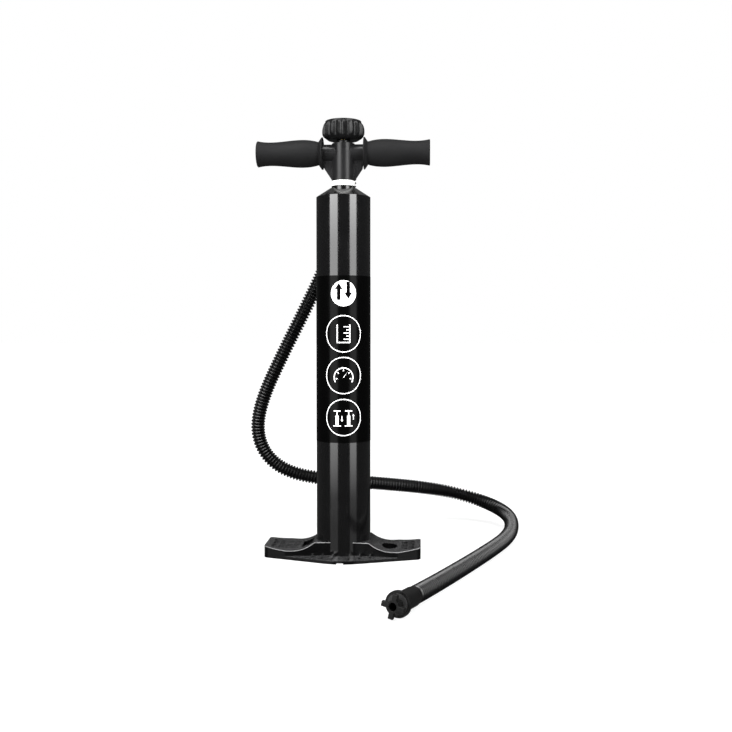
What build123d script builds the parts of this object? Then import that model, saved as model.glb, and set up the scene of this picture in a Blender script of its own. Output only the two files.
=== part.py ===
"""Double action hand pump: a floor-standing air pump with a T-handle, a gauge and a long hose.

Frame: the origin is on the pump's centre line at floor level, +Z is up, the label faces -Y and the
hose leaves the back of the handle towards +Y. Every size is in millimetres. The handle is at the
bottom of its stroke.
"""
import os
from math import cos, pi, radians, sin, sqrt, tan

from build123d import *

# ---------------------------------------------------------------- driving sizes: barrel and cap
TUBE_OD = 80.0
TUBE_WALL = 2.0
TUBE_FOOT_Z = 5.0
TUBE_TOP_Z = 529.5
LABEL_THICKNESS = 0.2
LABEL_LOW_Z = 170.4
LABEL_HIGH_Z = 412.8
LABEL_GAP_DEG = 24.0
CAP_INSERT_DEPTH = 8.5
CAP_CONE_H = 13.0
CAP_NECK_R = 20.0
CAP_COLLAR_R = 17.3
CAP_COLLAR_H = 3.5
CAP_FACET_HALF_W = 25.0
CAP_FACET_TOP_HALF_W = 15.0
BUSH_R = 16.25
BUSH_FLANGE_R = 17.0
BUSH_FLANGE_H = 7.3
ROD_SEAL_R = 18.5
ROD_SEAL_POCKET = 7.0
SEAL_KEEPER_T = 1.5
CAP_WALL = 4.0
FIT = 0.05                      # radial clearance of a fixed or sliding fit
LOOSE = 0.3                     # clearance between parts that pass each other

# ---------------------------------------------------------------- driving sizes: base
FOOT_HALF_L = 115.0
FOOT_END_HALF_W = 32.0
FOOT_APEX_HALF_W = 74.0
FOOT_LIP_T = 5.0
WING_END_Z = 17.0
WING_LOW_X = 72.0
WING_LOW_Z = 12.3
WING_ROOT_Z = 24.0
WING_ROOT_HALF_W = 36.5
WING_TIP_X = 82.0
FOOT_CORNER_R = 9.0
FOOT_APEX_R = 70.0
FOOT_EDGE_R = 2.0
TREAD_X = [66.0, 76.5, 87.0, 97.5]
TREAD_CELL_L = 8.5
TREAD_CELL_W = 8.0
TREAD_PITCH_Y = 10.0
TREAD_ROWS = 2
TREAD_DEPTH = 1.2
WELL_NEAR_X = 45.0
WELL_FAR_X = 61.0
WELL_HALF_W = 21.0
WELL_FLOOR_Z = 7.0
OVAL_X = 68.6
OVAL_HALF_L = 11.3
OVAL_HALF_W = 18.5
HOLLOW_NEAR_X = 84.0
HOLLOW_FAR_X = 110.0
HOLLOW_HALF_W = 26.0
HOLLOW_CELLS = 4
HOLLOW_TOP_Z = 8.5
RIB_T = 2.0
LIP_RIB_X = [12.0, 27.0, 42.0]
LIP_RIB_T = 1.6
LIP_RIB_H = 3.0
LIP_RIB_SETBACK = 6.0
AIR_WELL_R = 14.0
AIR_SLOT_W = 10.0
AIR_SLOT_H = 2.0
SCREW_HEAD_R = 3.6
SCREW_HEAD_T = 2.4
BASE_PLUG_T = 11.0
BASE_SCREW_R = 2.0
BASE_SCREW_PCD = 52.0
BASE_SCREW_COUNT = 4
BASE_SCREW_GRIP = 8.0
PLUG_RING_UP = 1.5

# ---------------------------------------------------------------- driving sizes: rod and piston
ROD_OD = 30.0
ROD_WALL = 3.0
PISTON_H = 24.0
PISTON_END_GAP = 0.5
PISTON_RIM_GAP = 0.6
SEAL_H = 5.0
SEAL_DEPTH = 3.5
SEAL_CLEARANCE = 0.1
SEAL_VEE_SHARE = 0.4
ORING_SECTION = 2.5
SEAT_UP = 3.0
SPLIT_UP = 15.5
GALLERY_IN_R = 16.5
GALLERY_OUT_R = 29.0
GALLERY_H = 5.5
SIDE_PORT_R = 1.8
RING_PORT_COUNT = 8
PISTON_SCREW_COUNT = 4
PISTON_SCREW_R = 1.3
PISTON_SCREW_HEAD_R = 2.0
PISTON_SCREW_HEAD_T = 1.6
PISTON_SCREW_PCD = 63.0
PISTON_SCREW_UP = 9.0
PISTON_PIN_HALF_L = 24.0
HANDLE_PIN_HALF_L = 16.0
CROSS_PIN_R = 2.0

# ---------------------------------------------------------------- driving sizes: valves
VALVE_DISC_R = 12.0
VALVE_DISC_T = 1.5
VALVE_LIFT = 1.6
VALVE_PORT_R = 2.0
VALVE_PORT_PCD = 15.0
VALVE_PORT_COUNT = 6
VALVE_POST_R = 2.0
VALVE_POST_GRIP = 2.6
VALVE_ROOM = 5.0
RETAINER_T = 1.4
RETAINER_R = 9.0

# ---------------------------------------------------------------- driving sizes: handle
HUB_BOTTOM_Z = 554.0
ROD_END_GAP = 1.5
HUB_R = 17.0
HANDLE_AXIS_Z = 594.5
HANDLE_HALF_L = 127.7
ARM_R = 13.0
ARM_WALL = 3.0
ARM_HALF_L = 124.0
ARM_HOLLOW_X = 29.0
HUB_TOP_Z = 608.0
NECK_R = 10.3
NECK_TOP_Z = 612.5
TOWER_R = 8.0
GAUGE_BORE_R = 5.0
WEB_T = 12.0
WEB_FOOT_X = 16.0
WEB_OUT_X = 28.0
WEB_OUT_Z = 572.0
GRIP_START_X = 30.3
GRIP_FLANGE_R = 23.5
GRIP_NECK_X = 36.5
GRIP_NECK_R = 16.8
GRIP_BULGE_X = 75.0
GRIP_BULGE_R = 19.4
GRIP_WAIST_X = 112.0
GRIP_WAIST_R = 17.1
GRIP_END_R = 19.0
HUB_SCREW_X = 23.5
HUB_SCREW_R = 1.5
HUB_SCREW_HEAD_R = 2.8
HUB_SCREW_HEAD_T = 2.0
HUB_SCREW_L = 22.0
HUB_SCREW_SINK = 2.5

# ---------------------------------------------------------------- driving sizes: gauge
GAUGE_R = 31.3
GAUGE_FOOT_R = 23.5
GAUGE_TOP_R = 26.5
GAUGE_H = 27.5
GAUGE_RIBS = 18
GAUGE_RIB_DEPTH = 2.2
DIAL_R = 22.5
LENS_T = 1.6
GAUGE_THREAD_L = 9.0
GAUGE_RIB_W = 5.0
GAUGE_RIM_T = 2.5
GAUGE_FLOOR_T = 4.0
CAN_R = 19.0
CAN_H = 13.0
SPINDLE_R = 0.75
SPINDLE_UP = 18.8
DIAL_T = 0.8
NEEDLE_UP = 19.0
NEEDLE_HUB_R = 3.0
NEEDLE_HUB_H = 2.0
NEEDLE_REACH = 17.0
NEEDLE_TAIL = 6.0
NEEDLE_T = 0.8
NEEDLE_REST_DEG = 225.0
LENS_EDGE = 1.3
LENS_SEAT_UP = 24.2
BEZEL_LIP = 2.8
GAUGE_RING_R = 6.4

# ---------------------------------------------------------------- driving sizes: hose and nozzle
HOSE_R = 11.5
HOSE_WALL = 2.0
PORT_R = 11.0
PORT_BORE_R = 6.5
PORT_FACE_Y = 26.0
PORT_Z = 588.0
ELBOW_R = 9.5
CUFF_R = 12.2
CUFF_L = 38.0
FLANGE_R = 16.0
FLANGE_T = 4.0
NOSE_R = 7.6
NOSE_L = 15.0
NOSE_BORE_R = 5.0
NOSE_TAIL_L = 28.0
LUG_REACH = 14.5
LUG_W = 6.0
LUG_T = 5.0
LUG_COUNT = 4
LUG_START_DEG = 78.0
GASKET_R = 12.5
GASKET_T = 1.5
ELBOW_BORE_R = 6.0
ELBOW_BEND_R = 12.0
ELBOW_FLANGE_T = 3.0
SPIGOT_R = 8.0

# The hose's line, from the elbow behind the handle, down round the left side, across the back and
# forward over the floor to the cuff.
HOSE_ROUTE = [
    (4.0, 57.0, 576.0),
    (3.5, 63.8, 540.6),
    (-8.5, 81.0, 496.0),
    (-35.0, 94.0, 438.0),
    (-69.0, 103.0, 370.0),
    (-106.0, 113.0, 300.0),
    (-140.0, 125.0, 232.0),
    (-154.0, 134.0, 184.0),
    (-150.5, 142.0, 146.0),
    (-131.0, 150.5, 115.5),
    (-99.0, 161.0, 96.0),
    (-54.0, 175.0, 85.5),
    (-2.0, 193.0, 78.5),
    (52.0, 217.0, 71.0),
    (106.0, 240.0, 63.0),
    (157.0, 254.0, 54.0),
    (194.0, 255.0, 45.0),
    (228.0, 242.5, 36.0),
    (253.5, 216.0, 27.5),
    (265.0, 180.0, 20.0),
    (261.0, 122.0, 14.0),
    (246.0, 62.0, 11.7),
    (221.0, -5.0, 11.6),
    (191.0, -78.0, 11.6),
    (157.0, -157.0, 11.6),
    (124.0, -234.0, 12.6),
    (105.5, -280.0, 14.7),
]

# ---------------------------------------------------------------- worked-out places
TUBE_R = TUBE_OD / 2
BORE_R = TUBE_R - TUBE_WALL
PLUG_TOP_Z = TUBE_FOOT_Z + BASE_PLUG_T
PISTON_Z = PLUG_TOP_Z + PISTON_END_GAP
CAP_INSERT_Z = TUBE_TOP_Z - CAP_INSERT_DEPTH
STROKE = CAP_INSERT_Z - PISTON_END_GAP - PISTON_H - PISTON_Z
CAP_NECK_Z = TUBE_TOP_Z + CAP_CONE_H
CAP_TOP_Z = CAP_NECK_Z + CAP_COLLAR_H
ROD_R = ROD_OD / 2
ROD_BORE_R = ROD_R - ROD_WALL
GAUGE_Z = NECK_TOP_Z + 1.0
GAUGE_TOP_Z = GAUGE_Z + GAUGE_H
FLAT_ENDS = 0.01                # lets a fixed piece sit in its hole without sharing a face
PLUG_RING_Z = TUBE_FOOT_Z + PLUG_RING_UP
BASE_SEAT_Z = PLUG_TOP_Z - VALVE_ROOM
PISTON_R = BORE_R - PISTON_RIM_GAP
PISTON_TOP_Z = PISTON_Z + PISTON_H
PISTON_SPLIT_Z = PISTON_Z + SPLIT_UP
PISTON_SEAT_Z = PISTON_Z + SEAT_UP
PISTON_SEAL_IN_R = PISTON_R - SEAL_DEPTH
LOW_SEAL_Z = PISTON_Z + SEAT_UP
HIGH_SEAL_Z = PISTON_TOP_Z - SEAL_H - CROSS_PIN_R
GALLERY_Z = PISTON_SPLIT_Z - GALLERY_H
SIDE_PORT_Z = GALLERY_Z + SIDE_PORT_R + FLAT_ENDS
PISTON_PIN_Z = (PISTON_SPLIT_Z + PISTON_TOP_Z) / 2
ROD_BOTTOM_Z = PISTON_SEAT_Z + VALVE_ROOM
ROD_TOP_Z = HANDLE_AXIS_Z - ARM_R - ROD_END_GAP
HANDLE_PIN_Z = (HUB_BOTTOM_Z + ROD_TOP_Z) / 2


# ---------------------------------------------------------------- shape helpers
def cyl(radius, low, high, x=0.0, y=0.0):
    """Upright cylinder between two heights."""
    return Pos(x, y, (low + high) / 2) * Cylinder(radius, high - low)


def ring(outer, inner, low, high):
    """Upright ring between two heights."""
    return Pos(0, 0, low) * extrude(Circle(outer) - Circle(inner), high - low)


def turned(corners):
    """Solid turned about Z from its (radius, height) corners."""
    return revolve(make_face(Plane.XZ * Polyline(*corners, close=True)), Axis.Z)


def around(count, radius, low, high, pitch_radius, start=0.0):
    """Upright pins or holes spaced evenly on a circle."""
    turns = [radians(start + 360 * i / count) for i in range(count)]
    return [cyl(radius, low, high, pitch_radius * cos(a), pitch_radius * sin(a)) for a in turns]


def minus(solid, tools):
    """Cut a list of tools from a solid."""
    for tool in tools:
        solid = solid - tool
    return solid


def slab(x0, x1, y0, y1, z0, z1):
    """Box between two corners."""
    return Pos((x0 + x1) / 2, (y0 + y1) / 2, (z0 + z1) / 2) * Box(x1 - x0, y1 - y0, z1 - z0)


# ---------------------------------------------------------------- base
def foot_edge_y(x):
    """Half width of the foot's straight edge at a distance x from its middle."""
    return FOOT_END_HALF_W + (FOOT_APEX_HALF_W - FOOT_END_HALF_W) * (1 - abs(x) / FOOT_HALF_L)


def foot_outline():
    """Plan of the foot: a long six-sided plate with rounded ends and broad rounded middles."""
    half, end, apex = FOOT_HALF_L, FOOT_END_HALF_W, FOOT_APEX_HALF_W
    corners = [(-half, -end), (0, -apex), (half, -end), (half, end), (0, apex), (-half, end)]
    face = make_face(Polyline(*corners, close=True))
    ends = [v for v in face.vertices() if abs(v.X) > 1]
    face = fillet(ends, FOOT_CORNER_R)
    middles = [v for v in face.vertices() if abs(v.X) < 1]
    return fillet(middles, FOOT_APEX_R)


def wing_arc(x_end, z_end):
    """Radius of the dished arc that is level at the wing's low point and passes one end."""
    run = x_end - WING_LOW_X
    rise = z_end - WING_LOW_Z
    return (run * run + rise * rise) / (2 * rise)


def wing_top_z(x):
    """Height of the wing's top at a distance x from the middle."""
    reach = abs(x)
    radius = wing_arc(FOOT_HALF_L, WING_END_Z) if reach > WING_LOW_X else wing_arc(TUBE_R, WING_ROOT_Z)
    return WING_LOW_Z + radius - sqrt(radius * radius - (reach - WING_LOW_X) ** 2)


def wing_band():
    """The raised band that carries both wings, dished between its ends and the barrel."""
    line = []
    for side in (1, -1):
        tip = (side * FOOT_HALF_L, WING_END_Z)
        low = (side * WING_LOW_X, WING_LOW_Z)
        root = (side * TUBE_R, WING_ROOT_Z)
        line.append(TangentArc(low, tip, tangent=(side, 0)))
        line.append(TangentArc(low, root, tangent=(-side, 0)))
        line.append(Line((side * FOOT_HALF_L, 0), tip))
    line.append(Line((-FOOT_HALF_L, 0), (FOOT_HALF_L, 0)))
    line.append(Line((-TUBE_R, WING_ROOT_Z), (TUBE_R, WING_ROOT_Z)))
    side_view = Plane.XZ * make_face(line)
    block = extrude(side_view, FOOT_APEX_HALF_W, both=True)
    edge = foot_edge_y(WING_TIP_X)
    half = [(-FOOT_HALF_L, FOOT_APEX_HALF_W), (-WING_TIP_X, edge), (-TUBE_R / 2, WING_ROOT_HALF_W),
            (TUBE_R / 2, WING_ROOT_HALF_W), (WING_TIP_X, edge), (FOOT_HALF_L, FOOT_APEX_HALF_W)]
    plan = make_face(Polyline(*half, *[(x, -y) for x, y in reversed(half)], close=True))
    band = block & extrude(plan, WING_END_Z + WING_ROOT_Z)
    return band & extrude(foot_outline(), WING_END_Z + WING_ROOT_Z)


def tread_cuts():
    """Shallow pockets in rows over both wings, one deep pocket and one open oval hole."""
    cuts = []
    for side, first in ((-1, TREAD_X[0]), (1, TREAD_X[2])):
        columns = [x for x in TREAD_X if x >= first]
        for x in columns:
            for row in range(-TREAD_ROWS, TREAD_ROWS + 1):
                top = min(wing_top_z(x), wing_top_z(x + TREAD_CELL_L))
                y = row * TREAD_PITCH_Y
                near, far = sorted((side * x, side * (x + TREAD_CELL_L)))
                cuts.append(slab(near, far, y - TREAD_CELL_W / 2, y + TREAD_CELL_W / 2,
                                 top - TREAD_DEPTH, WING_END_Z + TREAD_DEPTH))
    cuts.append(slab(-WELL_FAR_X, -WELL_NEAR_X, -WELL_HALF_W, WELL_HALF_W, WELL_FLOOR_Z, WING_ROOT_Z + 1))
    oval = Pos(OVAL_X, 0, -1) * extrude(Ellipse(OVAL_HALF_L, OVAL_HALF_W), WING_ROOT_Z + 2)
    cuts.append(oval)
    return cuts


def underside_cuts():
    """Hollow cells under the wings, with ribs left between them."""
    cuts = []
    for near in (-HOLLOW_FAR_X, HOLLOW_NEAR_X):
        width = HOLLOW_FAR_X - HOLLOW_NEAR_X
        pitch = 2 * HOLLOW_HALF_W / HOLLOW_CELLS
        for cell in range(HOLLOW_CELLS):
            y = -HOLLOW_HALF_W + cell * pitch
            cuts.append(slab(near, near + width, y + RIB_T / 2, y + pitch - RIB_T / 2, -1, HOLLOW_TOP_Z))
    return cuts


def lip_ribs():
    """Thin upright ribs on the open corners of the lip, in front of and behind the barrel."""
    ribs = []
    for side in (1, -1):
        for x in LIP_RIB_X:
            reach = foot_edge_y(x) - LIP_RIB_SETBACK
            for place in (x, -x):
                low, high = sorted((side * (WING_ROOT_HALF_W - 1), side * reach))
                ribs.append(slab(place - LIP_RIB_T / 2, place + LIP_RIB_T / 2, low, high,
                                 FOOT_LIP_T - 1, FOOT_LIP_T + LIP_RIB_H))
    return ribs


def base_foot():
    """The moulded foot: lip plate, wings, tread, socket for the barrel and the air inlet."""
    foot = extrude(foot_outline(), FOOT_LIP_T) + wing_band()
    foot = fillet(foot.edges().filter_by(Axis.Z).filter_by(lambda e: e.length > WING_END_Z - 1), FOOT_EDGE_R)
    for rib in lip_ribs():
        foot = foot + rib
    foot = minus(foot, tread_cuts() + underside_cuts())
    foot = foot - cyl(TUBE_R + FIT, TUBE_FOOT_Z, WING_ROOT_Z + 1)
    foot = foot - cyl(AIR_WELL_R, -1, TUBE_FOOT_Z + 1)
    reach = FOOT_APEX_HALF_W + 1
    foot = foot - slab(-AIR_SLOT_W / 2, AIR_SLOT_W / 2, -reach, reach, -1, AIR_SLOT_H)
    shank_r, head_r = BASE_SCREW_R + LOOSE, SCREW_HEAD_R + LOOSE
    foot = minus(foot, around(BASE_SCREW_COUNT, shank_r, -1, TUBE_FOOT_Z + 1, BASE_SCREW_PCD / 2, 45))
    return minus(foot, around(BASE_SCREW_COUNT, head_r, -1, SCREW_HEAD_T + LOOSE, BASE_SCREW_PCD / 2, 45))


# ---------------------------------------------------------------- check valves
def valve_space(seat_z, floor_z, room):
    """Cuts for a disc valve: ports under the seat and the round pocket that the disc lifts in."""
    ports = around(VALVE_PORT_COUNT, VALVE_PORT_R, floor_z - 1, seat_z + 1, VALVE_PORT_PCD / 2)
    post = cyl(VALVE_POST_R + FLAT_ENDS, seat_z - VALVE_POST_GRIP, seat_z + 1)
    return ports + [post, cyl(VALVE_DISC_R + 2 * LOOSE, seat_z, seat_z + room)]


def valve_disc(seat_z):
    """Rubber disc that lies on the seat and lifts to let air through."""
    low = seat_z + FIT
    return ring(VALVE_DISC_R, VALVE_POST_R + LOOSE, low, low + VALVE_DISC_T)


def valve_retainer(seat_z):
    """Post with a round head that keeps the disc from lifting too far."""
    head = seat_z + 2 * FIT + VALVE_DISC_T + VALVE_LIFT
    post = cyl(VALVE_POST_R, seat_z - VALVE_POST_GRIP, head + RETAINER_T / 2)
    return post + cyl(RETAINER_R, head, head + RETAINER_T)


# ---------------------------------------------------------------- barrel
def base_plug():
    """Round plug in the bottom of the barrel, with the inlet valve's seat and a seal groove."""
    plug = cyl(BORE_R - FIT, TUBE_FOOT_Z, PLUG_TOP_Z)
    groove = ring(BORE_R + 1, BORE_R - ORING_SECTION, PLUG_RING_Z, PLUG_RING_Z + ORING_SECTION)
    plug = minus(plug - groove, valve_space(BASE_SEAT_Z, TUBE_FOOT_Z, PLUG_TOP_Z))
    return minus(plug, around(BASE_SCREW_COUNT, BASE_SCREW_R + FLAT_ENDS, TUBE_FOOT_Z - 1,
                              TUBE_FOOT_Z + BASE_SCREW_GRIP, BASE_SCREW_PCD / 2, 45))


def o_ring(outer, low):
    """Seal ring of the common section in a groove, filling it out to a fit."""
    middle = outer - ORING_SECTION / 2
    circle = Pos(middle, 0) * Circle(ORING_SECTION / 2 - FLAT_ENDS)
    return Pos(0, 0, low + ORING_SECTION / 2) * revolve(Plane.XZ * circle, Axis.Z)


def base_screws():
    """Countersunk screws from under the foot into the plug."""
    heads = around(BASE_SCREW_COUNT, SCREW_HEAD_R, 0.2, SCREW_HEAD_T, BASE_SCREW_PCD / 2, 45)
    top = TUBE_FOOT_Z + BASE_SCREW_GRIP
    shanks = around(BASE_SCREW_COUNT, BASE_SCREW_R, 0.2, top, BASE_SCREW_PCD / 2, 45)
    return Compound([head + shank for head, shank in zip(heads, shanks)])


def barrel_tube():
    """Drawn tube, square at both ends."""
    return ring(TUBE_R, BORE_R, TUBE_FOOT_Z, TUBE_TOP_Z)


def label_film():
    """Film wrapped round the barrel, with a narrow gap at the back."""
    film = ring(TUBE_R + LABEL_THICKNESS, TUBE_R + FLAT_ENDS, LABEL_LOW_Z, LABEL_HIGH_Z)
    gap = TUBE_R * tan(radians(LABEL_GAP_DEG / 2))
    return film - slab(-gap, gap, 0, TUBE_OD, LABEL_LOW_Z - 1, LABEL_HIGH_Z + 1)


def cap_cone():
    """The cone of the cap with a flat facet at front and back, and the round collar on top."""
    cone = turned([(0, TUBE_TOP_Z), (TUBE_R, TUBE_TOP_Z), (CAP_NECK_R, CAP_NECK_Z), (0, CAP_NECK_Z)])
    low = sqrt(TUBE_R ** 2 - CAP_FACET_HALF_W ** 2)
    high = sqrt(CAP_NECK_R ** 2 - CAP_FACET_TOP_HALF_W ** 2)
    far = TUBE_OD
    for turn in (0, 1):
        wedge = make_face(Polyline((low, TUBE_TOP_Z), (far, TUBE_TOP_Z), (far, CAP_NECK_Z + 1),
                                   (high, CAP_NECK_Z), close=True))
        cutter = extrude(Plane.XZ * wedge, TUBE_R, both=True)
        cone = cone - Rot(0, 0, 90 + 180 * turn) * cutter
    return cone + cyl(CAP_COLLAR_R, TUBE_TOP_Z, CAP_TOP_Z)


def top_cap():
    """Cap with an insert in the tube, a rod passage, a seal pocket and a hollow underside."""
    cap = cap_cone() + cyl(BORE_R - FIT, CAP_INSERT_Z, TUBE_TOP_Z)
    groove_z = CAP_INSERT_Z + (CAP_INSERT_DEPTH - ORING_SECTION) / 2
    cap = cap - ring(BORE_R + 1, BORE_R - ORING_SECTION, groove_z, groove_z + ORING_SECTION)
    cap = cap - ring(BORE_R - ORING_SECTION - CAP_WALL / 2, ROD_SEAL_R + CAP_WALL / 2,
                     CAP_INSERT_Z - 1, TUBE_TOP_Z - CAP_WALL / 2)
    cap = cap - cyl(ROD_SEAL_R + FIT, CAP_INSERT_Z - 1, CAP_INSERT_Z + ROD_SEAL_POCKET)
    return cap - cyl(BUSH_R + FLAT_ENDS, CAP_INSERT_Z, CAP_TOP_Z + 1)


def rod_bush():
    """White bearing sleeve that guides the rod, with a tall flange on top of the cap."""
    top = CAP_TOP_Z + BUSH_FLANGE_H
    flange = ring(BUSH_FLANGE_R, ROD_R + FIT, CAP_TOP_Z + FLAT_ENDS, top)
    return ring(BUSH_R, ROD_R + FIT, CAP_INSERT_Z + ROD_SEAL_POCKET, top) + flange


def lip_seal(outer, inner, low, lip_down):
    """Seal ring with a vee groove, whose lips open towards the pressure."""
    middle, high = (outer + inner) / 2, low + SEAL_H
    width = (outer - inner) * SEAL_VEE_SHARE / 2
    if lip_down:
        corners = [(inner, low), (middle - width, low), (middle, low + SEAL_H / 2), (middle + width, low),
                   (outer, low), (outer, high), (inner, high)]
    else:
        corners = [(inner, low), (outer, low), (outer, high), (middle + width, high),
                   (middle, high - SEAL_H / 2), (middle - width, high), (inner, high)]
    return turned(corners)


def rod_seal():
    """Lip seal on the rod, which also lets outside air in above the piston."""
    return lip_seal(ROD_SEAL_R, ROD_R + SEAL_CLEARANCE, CAP_INSERT_Z + SEAL_KEEPER_T, True)


def rod_seal_keeper():
    """Snap ring under the rod seal."""
    return ring(ROD_SEAL_R, ROD_R + LOOSE, CAP_INSERT_Z, CAP_INSERT_Z + SEAL_KEEPER_T - FLAT_ENDS)


# ---------------------------------------------------------------- rod and piston
def piston_rod():
    """Hollow rod, with side ports inside the piston and cross holes for its two pins."""
    rod = ring(ROD_R, ROD_BORE_R, ROD_BOTTOM_Z, ROD_TOP_Z)
    return minus(rod, side_ports() + [piston_pin(FLAT_ENDS), handle_pin(FLAT_ENDS)])


def side_ports():
    """Four level ports from the piston's gallery into the rod."""
    drill = Cylinder(SIDE_PORT_R, 2 * GALLERY_IN_R + 2)
    return [Pos(0, 0, SIDE_PORT_Z) * Rot(0, 0, turn) * Rot(90, 0, 0) * drill for turn in (45, 135)]


def cross_pin(height, half_length, gap=0.0):
    """Level pin along X through the rod and what it is fixed in."""
    return Pos(0, 0, height) * Rot(0, 90, 0) * Cylinder(CROSS_PIN_R + gap, 2 * (half_length + gap))


def piston_pin(gap=0.0):
    """Pin that fixes the piston on the rod."""
    return cross_pin(PISTON_PIN_Z, PISTON_PIN_HALF_L, gap)


def handle_pin(gap=0.0):
    """Pin that fixes the handle on the rod."""
    return cross_pin(HANDLE_PIN_Z, HANDLE_PIN_HALF_L, gap)


def seal_groove(low):
    """Groove for a piston seal."""
    return ring(BORE_R + 1, PISTON_SEAL_IN_R, low, low + SEAL_H)


def piston_body():
    """Lower half of the piston: down-stroke valve seat, rod socket and the gallery round it."""
    body = cyl(PISTON_R, PISTON_Z, PISTON_SPLIT_Z) - seal_groove(LOW_SEAL_Z)
    body = minus(body, valve_space(PISTON_SEAT_Z, PISTON_Z, ROD_BOTTOM_Z - PISTON_SEAT_Z))
    body = body - cyl(ROD_R + FIT, ROD_BOTTOM_Z, PISTON_SPLIT_Z + 1)
    body = body - ring(GALLERY_OUT_R, GALLERY_IN_R, GALLERY_Z, PISTON_SPLIT_Z + 1)
    return minus(body, side_ports() + piston_screw_set(FLAT_ENDS))


def piston_cover():
    """Upper half of the piston: up-stroke ports over the ring valve, and the upper seal groove."""
    cover = cyl(PISTON_R, PISTON_SPLIT_Z, PISTON_TOP_Z) - seal_groove(HIGH_SEAL_Z)
    cover = cover - cyl(ROD_R + FIT, PISTON_SPLIT_Z - 1, PISTON_TOP_Z + 1)
    ports = around(RING_PORT_COUNT, VALVE_PORT_R, PISTON_SPLIT_Z - 1, PISTON_TOP_Z + 1,
                   (GALLERY_IN_R + GALLERY_OUT_R) / 2, 22.5)
    return minus(cover, ports + piston_screw_set(FLAT_ENDS) + [piston_pin(FLAT_ENDS)])


def piston_screw_set(gap=0.0):
    """Screws that hold the piston's halves together, flush with its top."""
    low, high = PISTON_Z + PISTON_SCREW_UP, PISTON_TOP_Z
    shanks = around(PISTON_SCREW_COUNT, PISTON_SCREW_R + gap, low, high, PISTON_SCREW_PCD / 2)
    heads = around(PISTON_SCREW_COUNT, PISTON_SCREW_HEAD_R + gap, high - PISTON_SCREW_HEAD_T - gap, high,
                   PISTON_SCREW_PCD / 2)
    return [shank + head for shank, head in zip(shanks, heads)]


def up_stroke_valve():
    """Rubber ring under the cover's ports, which drops to let the upper air into the gallery."""
    high = PISTON_SPLIT_Z - FIT
    return ring(GALLERY_OUT_R - LOOSE, GALLERY_IN_R + LOOSE, high - VALVE_DISC_T, high)


# ---------------------------------------------------------------- handle
def handle_blank():
    """Outer shape that the handle's two halves share."""
    blank = Pos(0, 0, HANDLE_AXIS_Z) * Rot(0, 90, 0) * Cylinder(ARM_R, 2 * ARM_HALF_L)
    blank = blank + cyl(HUB_R, HUB_BOTTOM_Z, HUB_TOP_Z) + cyl(NECK_R, HANDLE_AXIS_Z, NECK_TOP_Z)
    side = [(WEB_FOOT_X, HUB_BOTTOM_Z), (WEB_OUT_X, WEB_OUT_Z), (GRIP_START_X - LOOSE, HANDLE_AXIS_Z - ARM_R),
            (GRIP_START_X - LOOSE, HANDLE_AXIS_Z)]
    web = make_face(Polyline(*side, *[(-x, z) for x, z in reversed(side)], close=True))
    blank = blank + extrude(Plane.XZ * web, WEB_T / 2, both=True)
    hollow_l = ARM_HALF_L - ARM_WALL - ARM_HOLLOW_X
    for side in (1, -1):
        middle = side * (ARM_HOLLOW_X + hollow_l / 2)
        blank = blank - Pos(middle, 0, HANDLE_AXIS_Z) * Rot(0, 90, 0) * Cylinder(ARM_R - ARM_WALL, hollow_l)
    return minus(blank, hub_screw_set(FLAT_ENDS))


def half_space(low, high):
    """Block over the whole handle between two heights."""
    return slab(-HANDLE_HALF_L, HANDLE_HALF_L, -HANDLE_HALF_L, HANDLE_HALF_L, low, high)


def port_way():
    """Direction in plan from the hub to the elbow, and the elbow's corner above the hose's end."""
    end, after = Vector(*HOSE_ROUTE[0]), Vector(*HOSE_ROUTE[1])
    rise = (end - after).normalized()
    corner = end + rise * ((PORT_Z - end.Z) / rise.Z)
    return Vector(corner.X, corner.Y, 0).normalized(), corner


def level_rod(radius, start, stop):
    """Level cylinder along the hose port's axis, between two distances from the hub's middle."""
    way, _ = port_way()
    return Plane(origin=Vector(0, 0, PORT_Z) + way * start, z_dir=way) * extrude_circle(radius, stop - start)


def extrude_circle(radius, length):
    """Cylinder that stands on the working plane."""
    return extrude(Circle(radius), length)


def handle_body():
    """Lower half of the handle: rod socket, air tower and hose port."""
    body = handle_blank() & half_space(HUB_BOTTOM_Z, HANDLE_AXIS_Z)
    body = body + cyl(TOWER_R, ROD_TOP_Z, NECK_TOP_Z) + level_rod(PORT_R, 0, PORT_FACE_Y)
    body = body - cyl(ROD_R + FIT, HUB_BOTTOM_Z - 1, ROD_TOP_Z)
    body = body - cyl(GAUGE_BORE_R, ROD_TOP_Z - 1, NECK_TOP_Z + 1)
    body = body - level_rod(PORT_BORE_R, 0, PORT_FACE_Y + 1)
    return body - handle_pin(FLAT_ENDS)


def handle_cover():
    """Upper half of the handle, over the air tower and the hose port."""
    cover = handle_blank() & half_space(HANDLE_AXIS_Z, NECK_TOP_Z)
    cover = cover - cyl(TOWER_R + FIT, HANDLE_AXIS_Z - 1, NECK_TOP_Z + 1)
    return cover - level_rod(PORT_R + FIT, 0, PORT_FACE_Y)


def hub_screw_set(gap=0.0):
    """Screws down through the cover into the lower half, sunk in the arms' roots."""
    top = HANDLE_AXIS_Z + ARM_R - HUB_SCREW_SINK
    tools = []
    for x in (HUB_SCREW_X, -HUB_SCREW_X):
        shank = cyl(HUB_SCREW_R + gap, top - HUB_SCREW_L - gap, top, x)
        head_top = top if gap == 0 else top + HUB_SCREW_SINK + 1
        tools.append(shank + cyl(HUB_SCREW_HEAD_R + gap, top - HUB_SCREW_HEAD_T - gap, head_top, x))
    return tools


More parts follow.
